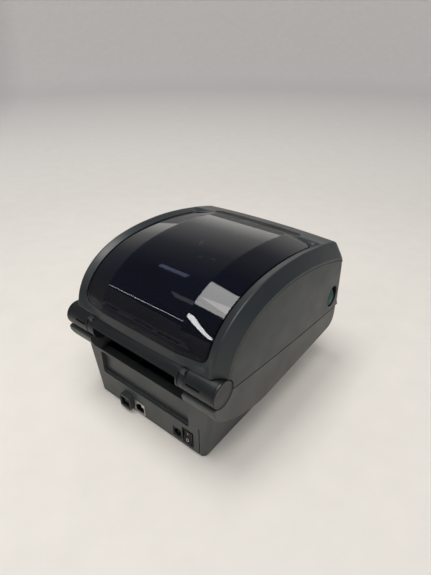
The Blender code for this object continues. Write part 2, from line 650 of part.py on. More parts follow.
def make_base():
    """Lower housing: tapered tub, flared belt, hinge cradle, slot, recess and port holes."""
    base = loft("base_housing", [tub_ring(z) for z in (BASE_Z, 20.0, 38.0, 56.0)], "shell")
    stations = [(HALF_W, 0.0, 1.0), (HALF_W - 0.5, 0.0, 0.3), (HALF_W - 1.4, 0.0, 0.0),
                (HALF_W - 11.0, 5.0, 0.0)]
    rings = [belt_ring(-x, drop, inset) for x, drop, inset in stations]
    rings += [belt_ring(x, drop, inset) for x, drop, inset in reversed(stations)]
    join(base, loft("belt", rings, "shell"))
    cut(base, loft("tub_hollow", [tub_ring(z, WALL + 0.2) for z in (-2.0, 20.0, 38.0, 60.0)],
                   "shell"))
    hollow = [(-95.4, 110.0), (-95.4, 57.0), (-90.5, 46.0), (-84.0, 42.5), (40.0, 39.5),
              (62.0, 45.0), (78.0, 53.0), (82.0, 58.0), (82.0, 110.0)]
    cut(base, prism("belt_hollow", "X", hollow, -HALF_W + 2.8, HALF_W - 2.8))
    cut(base, hinge_cylinder("cradle", HINGE_R + 0.6))
    cut(base, box("slot", (-SLOT_X, SLOT_X), (70.0, 112.0), (SLOT_Z, 100.0)))
    cut(base, prism("recess", "Y", rounded(RECESS_X, RECESS_Z, 2.5),
                    TUB_REAR - RECESS_D, TUB_REAR + 10))
    step_z = (RECESS_Z[0] - 1.8, RECESS_Z[1])
    cut(base, prism("step", "Y", rounded(RECESS_X, step_z, 2.5), TUB_REAR - 1.6, TUB_REAR + 10))
    cut(base, box("bezel_notch", (-BEZEL_X - GAP, BEZEL_X + GAP), (-110.0, -90.0), (48.0, 80.0)))
    hood = prism("hood", "Y", rounded((USB_X - 6.9, USB_X + 6.9), (3.6, 19.0), 2.0),
                 TUB_REAR - 2, TUB_REAR + 5.0)
    join(base, hood)
    port_holes = (("usb", USB_X, 6.1, 5.6, 11.4), ("lan", LAN_X, 7.1, 7.0, PORTS_Z),
                  ("dc", DC_X, 5.0, 5.7, 11.0), ("switch", SWITCH_X, 6.3, 8.6, SWITCH_Z))
    for word, x, half, tall, z in port_holes:
        cut(base, box(word, (x - half, x + half), (80.0, 106.0), (z - tall, z + tall)))
    cut(base, box("groove", (-62.2, -61.2), (TUB_REAR - 1, TUB_REAR + 9), (0.0, 33.0)))
    return base


BEZEL_X = 58.0


def make_front_bezel():
    """Front strip under the label exit, with the steel tear bar along its top."""
    rings = []
    for x in (-BEZEL_X, -40.0, -20.0, 0.0, 20.0, 40.0, BEZEL_X):
        bow = FRONT_BOW * (x / HALF_W) ** 2
        rings.append(spread("X", x, [(-98.0, 66.5), (-103.6 + bow, 66.5), (FRONT + bow, 64.0),
                                     (-104.2 + bow, 60.0), (-100.6 + bow, 57.0),
                                     (-100.6 + bow, 48.5), (-98.0, 48.5)]))
    loft("front_bezel", rings, "shell")
    prism("tear_bar", "X", [(-98.2, 67.8), (-98.2, 66.9), (-101.6, 66.9), (-102.2, 67.8),
                            (-102.5, 68.8), (-101.7, 67.8)], -55.5, 55.5, "steel")


def make_bottom():
    """Bottom plate with its screws, and four push-in rubber feet."""
    plate = prism("bottom_plate", "Z", rounded((-63.6, 63.6), (-66.5, 87.5), 4.0), 1.9, 3.0,
                  "black_plastic")
    join(plate, rod("stud", "Z", (0.0, BAY_Y), 2.5, 2.4, 12.6, "black_plastic"))
    for x, y in LEGS:
        cut(plate, rod("hole", "Z", (x, y), 1.9, 0.0, 6.0, "steel", 10))
    for k, (x, y) in enumerate(FEET):
        cut(plate, rod("hole", "Z", (x, y), 3.0, 0.0, 6.0, "steel", 12))
        turned(f"rubber_foot_{k + 1}", "Z", (x, y), ((6.0, 0.0), (7.0, 0.6), (7.0, 1.6),
                                                     (2.6, 1.6), (2.6, 3.3), (3.6, 3.9),
                                                     (2.0, 5.4)), "rubber", 12)
    for k, (x, y) in enumerate(LEGS):
        turned(f"bottom_screw_{k + 1}", "Z", (x, y), ((2.6, 0.6), (3.0, 1.1), (3.0, 1.6),
                                                      (1.5, 1.6), (1.5, 12.0)), "steel", 10)


# ---------------------------------------------------------------- hinge
def make_hinge():
    """Barrel on the base's rear edge: thin shell over the slot, knuckles with lug notches."""
    axis = (HINGE_Y, HINGE_Z)
    end = HALF_W - CAP_T - GAP
    barrel = rod("hinge_barrel", "X", axis, HINGE_R, -end, end, "shell", 36)
    cut(barrel, box("under", (-KNUCKLE_X, KNUCKLE_X), (70.0, 110.0), (60.0, HINGE_Z + LIP_RISE)))
    cut(barrel, rod("core", "X", axis, HINGE_R - 2.6, -KNUCKLE_X + 1.5, KNUCKLE_X - 1.5, "shell",
                    24))
    for side, word in ((-1, "left"), (1, "right")):
        cut(barrel, prism("notch", "X", notch_outline(), side * NOTCH_X[0], side * NOTCH_X[1]))
        bore = (side * (KNUCKLE_X + 1), side * (NOTCH_X[1] + 12))
        cut(barrel, rod("bore", "X", axis, PIN_R + 0.3, *bore, "steel"))
        rod(f"hinge_pin_{word}", "X", axis, PIN_R, bore[0] + side * 0.3, bore[1] - side * 0.3,
            "steel")
        turned(f"hinge_cap_{word}", "X", axis, ((HINGE_R, side * (end + 0.3)),
                                                      (HINGE_R, side * (HALF_W - 0.6)),
                                                      (HINGE_R - 0.6, side * HALF_W)), "shell", 36)
    return barrel


# ---------------------------------------------------------------- media bay
def tray_profile(offset):
    """Line of the tray in the side view: front ledge, half-round bay, rear ledge."""
    radius = BAY_R + offset
    half = math.degrees(math.acos((BAY_Z - TRAY_LEDGE + offset) / radius))
    bay = arc((BAY_Y, BAY_Z), radius, 270.0 - half, 270.0 + half, 18)
    ledge = TRAY_LEDGE - offset
    return [(-76.0, ledge)] + bay + [(80.5, ledge)]


def make_tray():
    """Media tray: one moulding that lines the roll bay and stands on four legs."""
    sheet = tray_profile(0.0) + tray_profile(TRAY_T)[::-1]
    tray = prism("media_tray", "X", sheet, -TRAY_X, TRAY_X, "inner_grey")
    wall = tray_profile(TRAY_T)[::-1]
    for side in (-1, 1):
        cheek = [(-46.0, 70.0)] + [(76.0, 78.0)] + wall[1:-1]
        join(tray, prism("cheek", "X", cheek, *sorted((side * (TRAY_X - 0.2), side * (TRAY_X + 1.4))),
                         "inner_grey"))
        cut(tray, box("rack_slot", sorted((side * 14.0, side * (TRAY_X - 0.6))),
                      (BAY_Y - 5.0, BAY_Y + 5.0), (10.0, 24.0)))
    for x, y in LEGS:
        depth = TRAY_LEDGE if y < 0 else BAY_Z - math.sqrt(BAY_R ** 2 - (y - BAY_Y) ** 2)
        join(tray, rod("leg", "Z", (x, y), 3.6, 3.4, depth - 1.0, "inner_grey", 10))
        cut(tray, rod("bore", "Z", (x, y), 1.9, 0.0, 13.0, "inner_grey", 10))
    return tray


def rack_outline(direction, inner_x, outer_x):
    """Plan of a rack whose teeth face the pinion; direction is the side it runs on."""
    pitch = math.pi * RACK_MODULE
    line = BAY_Y + direction * RACK_MODULE * RACK_TEETH / 2
    root, tip = line + direction * 1.15 * RACK_MODULE, line - direction * 0.85 * RACK_MODULE
    back = line + direction * 5.0
    low, high = sorted((inner_x, outer_x))
    points = [(low, back), (low, root)]
    first = math.ceil((low + 1.0) / pitch - 0.5) + 0.5
    while (first + 0.4) * pitch < high - 1.0:
        for share, y in ((-0.26, root), (-0.10, tip), (0.10, tip), (0.26, root)):
            points.append(((first + share) * pitch, y))
        first += 1
    return points + [(high, root), (high, back)]


def make_roll_holders():
    """Two sliding roll holders on racks, tied by a pinion, each with a free-turning hub."""
    rack_z = (8.0, 12.0)
    for side, word in ((-1, "left"), (1, "right")):
        inner, outer = side * HOLDER_X, side * (HOLDER_X + 3.0)
        plate = [(BAY_Y - 4.6, rack_z[0]), (BAY_Y + 4.6, rack_z[0]), (BAY_Y + 4.6, 22.0),
                 (BAY_Y + 13.0, 34.0)] + arc((BAY_Y, BAY_Z), 13.0, 0.0, 180.0, 8)
        plate += [(BAY_Y - 13.0, 34.0), (BAY_Y - 4.6, 22.0)]
        holder = prism(f"roll_holder_{word}", "X", plate, *sorted((inner, outer)), "inner_grey")
        join(holder, rod("axle", "X", (BAY_Y, BAY_Z), 3.0, *sorted((side * 50.0, side * 58.0)),
                         "inner_grey"))
        rack = rack_outline(side, -side * 6.0, outer)
        join(holder, prism("rack", "Z", rack, *rack_z, "inner_grey"))
        foot_y = sorted((BAY_Y - side * 4.0, BAY_Y + side * 11.0))
        join(holder, box("foot", sorted((inner, outer)), foot_y, rack_z))
        pivot(holder, inner, BAY_Y, BAY_Z)
        hub = turned(f"roll_hub_{word}", "X", (BAY_Y, BAY_Z),
                     ((ROLL_HUB_R - 1.5, side * 50.2), (ROLL_HUB_R, side * 52.0),
                      (ROLL_HUB_R, side * 54.4), (17.0, side * 54.4), (17.0, side * 56.0)),
                     "inner_grey")
        cut(hub, rod("bore", "X", (BAY_Y, BAY_Z), 3.3, side * 45, side * 60, "inner_grey"))
        pivot(hub, inner, BAY_Y, BAY_Z)
    teeth = gear_outline((0.0, BAY_Y), RACK_TEETH, RACK_MODULE, math.pi / 2)
    pinion = prism("holder_pinion", "Z", teeth, *rack_z, "white_nylon")
    cut(pinion, rod("bore", "Z", (0.0, BAY_Y), 2.8, 4.0, 14.0, "steel"))
    pivot(pinion, 0.0, BAY_Y, rack_z[0])


def make_sensor():
    """Media sensor carriage that slides across the front ledge."""
    carriage = box("media_sensor", (-6.0, 6.0), (-74.0, -64.0),
                   (TRAY_LEDGE + 0.4, TRAY_LEDGE + 4.4), "black_plastic")
    pivot(carriage, 0.0, -69.0, TRAY_LEDGE + 0.4)


# ---------------------------------------------------------------- electronics
def make_electronics():
    """Board with the sockets that show in the rear wall."""
    board = box("mainboard", (-46.0, 46.0), (36.0, 80.5), (5.4, 7.0), "board")
    join(board, box("chip", (-20.0, -4.0), (48.0, 64.0), (6.5, 9.0)))
    join(board, box("coil", (12.0, 22.0), (42.0, 52.0), (6.5, 12.0)))
    usb_z = (6.2, 16.6)
    usb = box("usb_socket", (USB_X - 5.8, USB_X + 5.8), (82.0, 99.0), usb_z, "steel")
    cut(usb, box("mouth", (USB_X - 4.6, USB_X + 4.6), (86.0, 101.0), (7.2, 15.6)))
    join(usb, box("tongue", (USB_X - 2.8, USB_X + 2.8), (84.0, 98.0), (9.8, 13.0)))
    lan = box("lan_socket", (LAN_X - 6.7, LAN_X + 6.7), (81.0, TUB_REAR + 0.6),
              (PORTS_Z - 6.6, PORTS_Z + 6.6), "steel")
    cut(lan, box("mouth", (LAN_X - 5.6, LAN_X + 5.6), (84.0, 99.0), (PORTS_Z - 5.4, PORTS_Z + 2.6)))
    cut(lan, box("key", (LAN_X - 2.6, LAN_X + 2.6), (84.0, 99.0), (PORTS_Z, PORTS_Z + 5.2)))
    jack = box("power_socket", (DC_X - 4.6, DC_X + 4.6), (81.0, TUB_REAR - 0.4), (5.8, 16.3),
               "black_plastic")
    ring = rod("ring", "Y", (DC_X, 11.0), 3.9, 86.0, 98.0, "steel")
    cut(ring, rod("core", "Y", (DC_X, 11.0), 1.0, 80.0, 94.0, "steel", 12))
    cut(jack, ring)


def make_switch():
    """Rocker switch: an open case in the rear wall and a rocker on a cross axis."""
    case = box("switch_case", (SWITCH_X - 5.9, SWITCH_X + 5.9), (82.0, TUB_REAR + 0.8),
               (SWITCH_Z - 8.2, SWITCH_Z + 8.2), "black_plastic")
    cut(case, box("mouth", (SWITCH_X - 4.9, SWITCH_X + 4.9), (84.5, 99.0),
                  (SWITCH_Z - 7.4, SWITCH_Z + 7.4)))
    axis_y = TUB_REAR - 2.4
    shape = [(-5.0, -3.0), (1.0, -6.6), (3.0, -6.6), (2.0, 0.0), (3.0, 6.6), (1.0, 6.6), (-5.0, 3.0)]
    tilt = math.radians(8.0)
    turned_shape = [(axis_y + y * math.cos(tilt) - z * math.sin(tilt),
                     SWITCH_Z + y * math.sin(tilt) + z * math.cos(tilt)) for y, z in shape]
    rocker = prism("power_rocker", "X", turned_shape, SWITCH_X - 4.6, SWITCH_X + 4.6,
                   "black_plastic")
    pivot(rocker, SWITCH_X, axis_y, SWITCH_Z)


def clear_scene():
    for obj in list(bpy.data.objects):
        bpy.data.objects.remove(obj)


clear_scene()
make_cover()
make_cover_trim()
make_feed_button()
make_latch()
make_printhead()
make_feed_train()
make_base()
make_front_bezel()
make_bottom()
make_hinge()
make_tray()
make_roll_holders()
make_sensor()
make_electronics()
make_switch()
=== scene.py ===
"""Looks of the desktop thermal label printer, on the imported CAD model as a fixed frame.

Lengths are in millimetres, and MM turns them into metres when a mesh is made.
The outlines repeat those of the CAD model at a higher resolution.
"""
import math

import bmesh
import bpy
import numpy as np
from mathutils import Matrix, Vector


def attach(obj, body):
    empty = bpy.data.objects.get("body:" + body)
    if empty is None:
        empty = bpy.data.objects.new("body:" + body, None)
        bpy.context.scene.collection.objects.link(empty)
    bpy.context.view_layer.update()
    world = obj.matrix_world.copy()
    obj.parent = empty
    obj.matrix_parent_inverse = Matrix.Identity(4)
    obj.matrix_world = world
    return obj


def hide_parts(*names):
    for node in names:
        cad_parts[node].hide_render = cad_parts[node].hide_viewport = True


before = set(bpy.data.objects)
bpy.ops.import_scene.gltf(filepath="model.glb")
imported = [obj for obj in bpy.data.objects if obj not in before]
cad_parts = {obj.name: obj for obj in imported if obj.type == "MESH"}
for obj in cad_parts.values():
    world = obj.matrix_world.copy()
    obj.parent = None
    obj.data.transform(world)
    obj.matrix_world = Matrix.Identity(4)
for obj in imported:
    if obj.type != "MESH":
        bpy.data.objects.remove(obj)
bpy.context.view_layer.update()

MM = 0.001

# ---------------------------------------------------------------- sizes shared with the CAD
HALF_W = 85.5
FRONT = -105.0
GAP = 0.4
HINGE_Y, HINGE_Z, HINGE_R, HINGE_CLEAR = 93.5, 86.0, 11.5, 12.3
CAP_T, KNUCKLE_X, LIP_RISE = 2.0, 48.0, 4.0
NOTCH_X = (50.0, 57.0)
HINGE = (HINGE_Y, HINGE_Z)
BARREL_END = HALF_W - CAP_T - GAP
LUG_R, LUG_EYE, LUG_FAN, OPEN_ANGLE = 11.2, 4.6, (-48.0, 78.0), 88.0
PIN_R = 2.0
CREASE_X = 76.6
CREASE_PEAK, ARCH_FOOT, ARCH_POWER = (5.0, 150.1), (97.5, 86.0), 2.4
CREASE_NOSE, NOSE_SLOPE = (-97.0, 133.0), 0.30
CHAMFER_DROP = (10.4, 15.0)
CROWN, CORNER, EDGE_R = 1.9, 9.0, 3.0
FRONT_BOW, FRONT_LEAN, BULGE_Z = 2.6, 0.06, 68.0
WALL, SIDE_WALL, PANEL_T, PANEL_RIM = 2.4, 3.2, 1.6, 1.0
WINDOW_X, WINDOW_RIDGE_X, WINDOW_EDGE_DROP, WINDOW_T = 69.0, 42.0, 3.0, 2.4
WINDOW_Z0, WINDOW_Y1, WINDOW_CORNER = 105.0, -60.0, 7.0
SHELF_Y, SHELF_Z = (79.0, 96.2), (98.9, 100.3)
SHELF_SLOTS = ((-33.0, -9.0), (-4.0, 19.0), (39.0, 57.0))
SEAM = ((84.0, 83.0), (-8.0, 70.2), (-102.0, 61.0))
TUB_X0, TUB_TAPER, TUB_REAR, TUB_R, BASE_Z, REAR_WALL = 66.8, 0.163, 94.9, 5.0, 1.6, 6.4
SLOT_X, SLOT_Z = 54.5, 58.5
RECESS_X, RECESS_Z, RECESS_D = (-50.5, 57.5), (29.5, 53.5), 4.0
EXIT_X, EXIT_Z = 59.0, 77.0
LATCH, LATCH_RY, LATCH_RZ = (-84.0, 80.0), 9.5, 11.5
BUTTON_Y, BUTTON_RY, BUTTON_RZ, BUTTON_LEAN = -82.3, 6.8, 9.6, 2.6
SCREEN_X, SCREEN_Y, SCREEN_Z = (71.3, 72.3), (-102.0, -70.0), (70.0, 94.0)
FEED, FEED_R = (52.0, 112.0), 7.0
PLATE_X, PLATE_R = 51.0, 6.6
BEZEL_X = 58.0
PORTS_Z = 10.0
JACK_HALF_W, JACK_Z = 5.55, (4.65, 12.55)
JACK_FIRST, JACK_PITCH = -3.6, 1.02
USB_FIRST, USB_PITCH = -1.8, 1.2
USB_X, LAN_X, DC_X, SWITCH_X, SWITCH_Z = 25.4, 10.3, -36.6, -48.8, 13.8
FEET = ((-54.0, -48.0), (54.0, -48.0), (-54.0, 62.0), (54.0, 62.0))
PLATEN, PLATEN_R, PLATEN_X = (-86.0, 60.0), 9.0, 56.0
BAY_Y, BAY_Z = 15.0, 82.0
ROLL_HUB_R = 12.4
JOINT = 1.0                     # width of the dark joint beside the window pane


# ---------------------------------------------------------------- materials
def colour_ramp(tree, factor, stops):
    """Colour ramp node from (position, colour or grey) stops."""
    node = tree.nodes.new("ShaderNodeValToRGB")
    elements = node.color_ramp.elements
    while len(elements) < len(stops):
        elements.new(0.5)
    for element, (position, value) in zip(elements, stops):
        element.position = position
        colour = value if isinstance(value, tuple) else (value, value, value)
        element.color = (*colour, 1.0)
    tree.links.new(factor, node.inputs["Fac"])
    return node.outputs["Color"]


class Graph:
    """A procedural material that is wired up step by step."""

    def __init__(self, name, colour, roughness, metallic=0.0):
        self.material = bpy.data.materials.new(name)
        self.material.use_nodes = True
        self.tree = self.material.node_tree
        self.shader = self.tree.nodes["Principled BSDF"]
        self.shader.inputs["Metallic"].default_value = metallic
        self.shader.inputs["Roughness"].default_value = roughness
        self.colour = colour
        self.roughness = roughness
        coordinates = self.tree.nodes.new("ShaderNodeTexCoord")
        self.place = coordinates.outputs["Object"]

    def link(self, source, target):
        self.tree.links.new(source, target)

    def set(self, **values):
        for name, value in values.items():
            self.shader.inputs[name.replace("_", " ")].default_value = value
        return self

    def stretched(self, scale):
        mapping = self.tree.nodes.new("ShaderNodeMapping")
        mapping.inputs["Scale"].default_value = scale
        self.link(self.place, mapping.inputs["Vector"])
        return mapping.outputs["Vector"]

    def noise(self, size, detail=2.0, stretch=None):
        """Noise whose blobs are about size metres across."""
        node = self.tree.nodes.new("ShaderNodeTexNoise")
        node.inputs["Scale"].default_value = 1.0 / size
        node.inputs["Detail"].default_value = detail
        self.link(self.stretched(stretch) if stretch else self.place, node.inputs["Vector"])
        return node.outputs["Fac"]

    def ramp(self, factor, stops):
        """Colour ramp from (position, colour or grey) stops."""
        return colour_ramp(self.tree, factor, stops)

    def measure(self, operation, scale, vector=None):
        """Length of the scaled place, or its dot product with a vector."""
        node = self.tree.nodes.new("ShaderNodeVectorMath")
        node.operation = operation
        self.link(self.stretched(scale), node.inputs[0])
        if vector:
            node.inputs[1].default_value = vector
        return node.outputs["Value"]

    def times(self, one, other):
        """Two colours multiplied."""
        node = self.tree.nodes.new("ShaderNodeMix")
        node.data_type = "RGBA"
        node.blend_type = "MULTIPLY"
        node.inputs["Factor"].default_value = 1.0
        self.link(one, node.inputs["A"])
        self.link(other, node.inputs["B"])
        return node.outputs["Result"]

    def mottle(self, size, spread, detail=3.0):
        """Colour that drifts by plus or minus spread over blobs of that size."""
        low = tuple(c * (1 - spread) for c in self.colour)
        high = tuple(c * (1 + spread) for c in self.colour)
        colour = self.ramp(self.noise(size, detail), ((0.3, low), (0.7, high)))
        self.link(colour, self.shader.inputs["Base Color"])
        return colour

    def shine(self, size, spread, detail=3.0, stretch=None):
        """Roughness that drifts by plus or minus spread."""
        stops = ((0.3, self.roughness - spread), (0.7, self.roughness + spread))
        self.link(self.ramp(self.noise(size, detail, stretch), stops),
                  self.shader.inputs["Roughness"])
        return self

    def bump(self, height, strength, depth):
        node = self.tree.nodes.new("ShaderNodeBump")
        node.inputs["Strength"].default_value = strength
        node.inputs["Distance"].default_value = depth
        self.link(height, node.inputs["Height"])
        self.link(node.outputs["Normal"], self.shader.inputs["Normal"])
        return self


def moulded(name, colour, roughness, grain=0.0006, strength=0.35, gloss=0.5):
    """Spark-eroded moulded plastic: fine grain, slow drift of colour, handled shine."""
    graph = Graph(name, colour, roughness).set(Specular_IOR_Level=gloss)
    graph.mottle(0.05, 0.05)
    graph.shine(0.022, 0.05)
    graph.bump(graph.noise(grain, 4.0), strength, 0.00005)
    return graph.material


def smoked_window():
    """Smoked clear plastic with a bluish tint, denser above its foot, with faint smears."""
    graph = Graph("smoked_window", (0.0025, 0.0035, 0.0095), 0.02)
    graph.mottle(0.06, 0.25)
    graph.shine(0.03, 0.006)
    graph.bump(graph.noise(0.04, 1.0), 0.006, 0.0002)
    height = graph.measure("DOT_PRODUCT", (1.0, 1.0, 1.0), (0.0, 0.0, 1.0))
    density = graph.ramp(height, ((0.108, 0.5), (0.124, 0.78)))
    graph.link(density, graph.shader.inputs["Alpha"])
    graph.set(IOR=1.5)
    return graph.material


def brushed(name, colour, roughness, stretch):
    """Metal with drawn scratches; stretch is short across the scratches."""
    graph = Graph(name, colour, roughness, 1.0)
    graph.mottle(0.012, 0.08)
    graph.shine(0.0012, 0.08, 4.0, stretch)
    graph.bump(graph.noise(0.0006, 3.0, stretch), 0.25, 0.00003)
    return graph.material


def rubber_compound(name, colour, roughness):
    graph = Graph(name, colour, roughness)
    graph.mottle(0.01, 0.2)
    graph.bump(graph.noise(0.0004, 5.0), 0.5, 0.00006)
    return graph.material


def circuit_board():
    """Green solder mask over faint copper tracks."""
    graph = Graph("circuit_board", (0.008, 0.075, 0.028), 0.35)
    tracks = graph.tree.nodes.new("ShaderNodeTexBrick")
    tracks.inputs["Scale"].default_value = 260.0
    tracks.inputs["Mortar Size"].default_value = 0.03
    tracks.inputs["Color1"].default_value = (0.006, 0.06, 0.022, 1.0)
    tracks.inputs["Color2"].default_value = (0.009, 0.085, 0.032, 1.0)
    tracks.inputs["Mortar"].default_value = (0.03, 0.14, 0.05, 1.0)
    graph.link(graph.place, tracks.inputs["Vector"])
    graph.link(tracks.outputs["Color"], graph.shader.inputs["Base Color"])
    graph.bump(tracks.outputs["Fac"], 0.3, 0.00005)
    return graph.material


def floor_surface():
    """Pale warm table top with painted light: greyer around the object as painted falloff, lighter
    towards its rim, painted shade dimmer towards +X and +Y, and a faint glow in these tones.
    """
    graph = Graph("floor_surface", (0.76, 0.72, 0.66), 0.6)
    reach = graph.measure("LENGTH", (1 / 3, 1 / 3, 1 / 3))
    aside = graph.measure("DOT_PRODUCT", (1.0, 1.0, 1.0), (0.55, 0.83, 0.0))
    # Painted light falloff: greyer around the object, lighter again towards the swept-up rim.
    tones = graph.ramp(reach, ((0.07, (0.75, 0.715, 0.66)), (0.2, (0.68, 0.65, 0.61)),
                               (0.7, (0.74, 0.715, 0.69)), (0.85, (0.84, 0.81, 0.78))))
    # Painted shade: dimmer towards +X and +Y.
    painted_shade = graph.ramp(aside, ((0.3, 1.0), (1.5, 0.4)))
    specks = graph.ramp(graph.noise(0.03, 5.0), ((0.3, 0.965), (0.7, 1.0)))
    surface = graph.times(graph.times(tones, painted_shade), specks)
    graph.link(surface, graph.shader.inputs["Base Color"])
    # The floor also glows in these painted tones, a painted light that lifts its shadows.
    graph.link(surface, graph.shader.inputs["Emission Color"])
    graph.bump(graph.noise(0.002, 4.0), 0.15, 0.0001)
    graph.set(Specular_IOR_Level=0.2, Emission_Strength=0.16)
    return graph.material


SHELL = moulded("shell_plastic", (0.019, 0.024, 0.027), 0.42)
PANEL = moulded("panel_plastic", (0.020, 0.027, 0.030), 0.45)
# The base is the shell's plastic painted about twice as light: painted light for the floor's bounce
# light on it.
BASE_PAINTED_LIGHT = moulded("base_plastic_painted_light", (0.046, 0.052, 0.053), 0.44)
BARREL = moulded("barrel_plastic", (0.007, 0.009, 0.011), 0.36, 0.0006, 0.3, 0.4)
DARK = moulded("black_plastic", (0.004, 0.004, 0.005), 0.4, 0.0005, 0.25, 0.22)
PLATE = moulded("plate_plastic", (0.009, 0.009, 0.008), 0.55, 0.0005, 0.2, 0.15)
# Light grey colour of the plate's rim: a painted highlight along the recess edge.
RIM_HIGHLIGHT = moulded("rim_painted_highlight", (0.10, 0.105, 0.105), 0.35)
INNER = moulded("inner_plastic", (0.010, 0.010, 0.012), 0.5)
# Light grey ledge, painted lighter still: partly its own colour, partly painted light for what
# reaches it through the window.
LEDGE_PAINTED_LIGHT = moulded("ledge_plastic_painted_light", (0.58, 0.58, 0.6), 0.55)
TEAL = moulded("teal_plastic", (0.0005, 0.075, 0.07), 0.36, 0.0005, 0.2, 0.08)
NYLON = moulded("white_nylon", (0.66, 0.65, 0.6), 0.45, 0.0004, 0.15)
WINDOW = smoked_window()
RUBBER = rubber_compound("rubber", (0.014, 0.014, 0.015), 0.8)
STEEL = brushed("steel", (0.52, 0.52, 0.52), 0.3, (1.0, 14.0, 14.0))
SHIELD = brushed("shield_steel", (0.66, 0.65, 0.62), 0.28, (14.0, 1.0, 14.0))
SINK = brushed("heat_sink", (0.3, 0.3, 0.31), 0.4, (1.0, 12.0, 12.0))
GOLD = brushed("contact_gold", (0.75, 0.52, 0.2), 0.25, (10.0, 1.0, 10.0))
# Near-black steel for the zinc-plated frames and head parts inside: painted shade for the dark
# inside of the printer.
STEEL_PAINTED_SHADE = brushed("steel_painted_shade", (0.03, 0.03, 0.032), 0.45, (1.0, 10.0, 10.0))
BOARD = circuit_board()
CERAMIC = moulded("ceramic", (0.16, 0.11, 0.08), 0.25, 0.0003, 0.1)
LIGHT_PIPE = moulded("light_pipe", (0.42, 0.62, 0.48), 0.25, 0.0008, 0.1)
MARK = moulded("mark_white", (0.62, 0.62, 0.6), 0.5)


# ---------------------------------------------------------------- mesh helpers
def mesh_object(name, verts, faces, finish, sharp=32.0):
    """A mesh from points in millimetres, its faces turned outwards."""
    mesh = bpy.data.meshes.new(name)
    mesh.from_pydata([Vector(v) * MM for v in verts], [], faces)
    work = bmesh.new()
    work.from_mesh(mesh)
    bmesh.ops.recalc_face_normals(work, faces=work.faces)
    work.to_mesh(mesh)
    work.free()
    made = bpy.data.objects.new(name, mesh)
    bpy.context.scene.collection.objects.link(made)
    made.data.materials.append(finish)
    return smooth(made, sharp)


def smooth(obj, sharp=32.0):
    obj.data.shade_smooth()
    obj.data.set_sharp_from_angle(angle=math.radians(sharp))
    return obj


def loft(name, rings, finish, sharp=32.0):
    """Skin over equal-length closed rings, capped at both ends."""
    count = len(rings[0])
    verts = [point for ring in rings for point in ring]
    faces = [tuple(range(count)), tuple(range(len(verts) - count, len(verts)))]
    for k in range(len(rings) - 1):
        for i in range(count):
            a, b = k * count + i, k * count + (i + 1) % count
            faces.append((a, b, b + count, a + count))
    return mesh_object(name, verts, faces, finish, sharp)


def spread(axis, along, outline):
    """A flat outline placed in 3-D at one position along X, Y or Z."""
    if axis == "X":
        return [(along, a, b) for a, b in outline]
    if axis == "Y":
        return [(a, along, b) for a, b in outline]
    return [(a, b, along) for a, b in outline]


def prism(name, axis, outline, lo, hi, finish):
    return loft(name, [spread(axis, lo, outline), spread(axis, hi, outline)], finish)


def block(name, x, y, z, finish):
    """Rectangular tool or bar; a visible one gets its edges bevelled afterwards."""
    outline = [(x[0], y[0]), (x[1], y[0]), (x[1], y[1]), (x[0], y[1])]
    return prism(name, "Z", outline, z[0], z[1], finish)


def arc(centre, radius, start, end, steps):
    """Points on a circle or ellipse, angles in degrees."""
    rx, ry = radius if isinstance(radius, tuple) else (radius, radius)
    angles = [math.radians(start + (end - start) * k / steps) for k in range(steps + 1)]
    return [(centre[0] + rx * math.cos(a), centre[1] + ry * math.sin(a)) for a in angles]


def circle(centre, radius, count=48):
    return arc(centre, radius, 0.0, 360.0, count)[:-1]


def rounded(x, y, radius, steps=8):
    """Rectangle with round corners."""
    (x0, x1), (y0, y1) = x, y
    points = []
    for cx, cy, start in ((x1, y1, 0), (x0, y1, 90), (x0, y0, 180), (x1, y0, 270)):
        centre = (cx - math.copysign(radius, cx - (x0 + x1) / 2),
                  cy - math.copysign(radius, cy - (y0 + y1) / 2))
        points += arc(centre, radius, start, start + 90, steps)
    return points


def turned(name, axis, centre, profile, finish, count=64):
    """Body of revolution: profile is (radius, position along the axis)."""
    rings = [spread(axis, along, circle(centre, radius, count)) for radius, along in profile]
    return loft(name, rings, finish)


def rod(name, axis, centre, radius, lo, hi, finish, count=64):
    return prism(name, axis, circle(centre, radius, count), lo, hi, finish)


def combine(target, tools, operation="DIFFERENCE"):
    """Apply Boolean operations to the target and remove the tools."""
    for tool in tools:
        step = target.modifiers.new("step", "BOOLEAN")
        step.operation = operation
        step.solver = "EXACT"
        step.object = tool
        graph = bpy.context.evaluated_depsgraph_get()
        mesh = bpy.data.meshes.new_from_object(target.evaluated_get(graph))
        target.modifiers.clear()
        target.data = mesh
        bpy.data.objects.remove(tool)
    return target


def join(target, *tools):
    return combine(target, tools, "UNION")


def cut(target, *tools):
    return combine(target, tools)


def bevel(obj, width, segments=2, limit=38.0):
    """Rounded edges in the real moulding's size, with clean shading over flat faces."""
    merge = obj.modifiers.new("merge", "WELD")
    merge.merge_threshold = 0.000004
    edge = obj.modifiers.new("edge", "BEVEL")
    edge.width = width * MM
    edge.segments = segments
    edge.limit_method = "ANGLE"
    edge.angle_limit = math.radians(limit)
    edge.use_clamp_overlap = True
    edge.miter_outer = "MITER_ARC"
    weights = obj.modifiers.new("weights", "WEIGHTED_NORMAL")
    weights.keep_sharp = True
    obj.data.shade_smooth()
    obj.data.set_sharp_from_angle(angle=math.radians(60.0))
    return obj


def place(obj, body, slot, *nodes):
    """The piece rides on a CAD body and stands for the named CAD nodes."""
    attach(obj, body)
    if nodes:
        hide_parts(*nodes)
    return obj


def coat(node, finish, edge=0.0):
    """Better material, and rounded edges, on a CAD node that stays as it is."""
    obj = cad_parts[node]
    for slot in obj.material_slots:
        slot.material = finish
    if edge:
        bevel(obj, edge)
    return obj


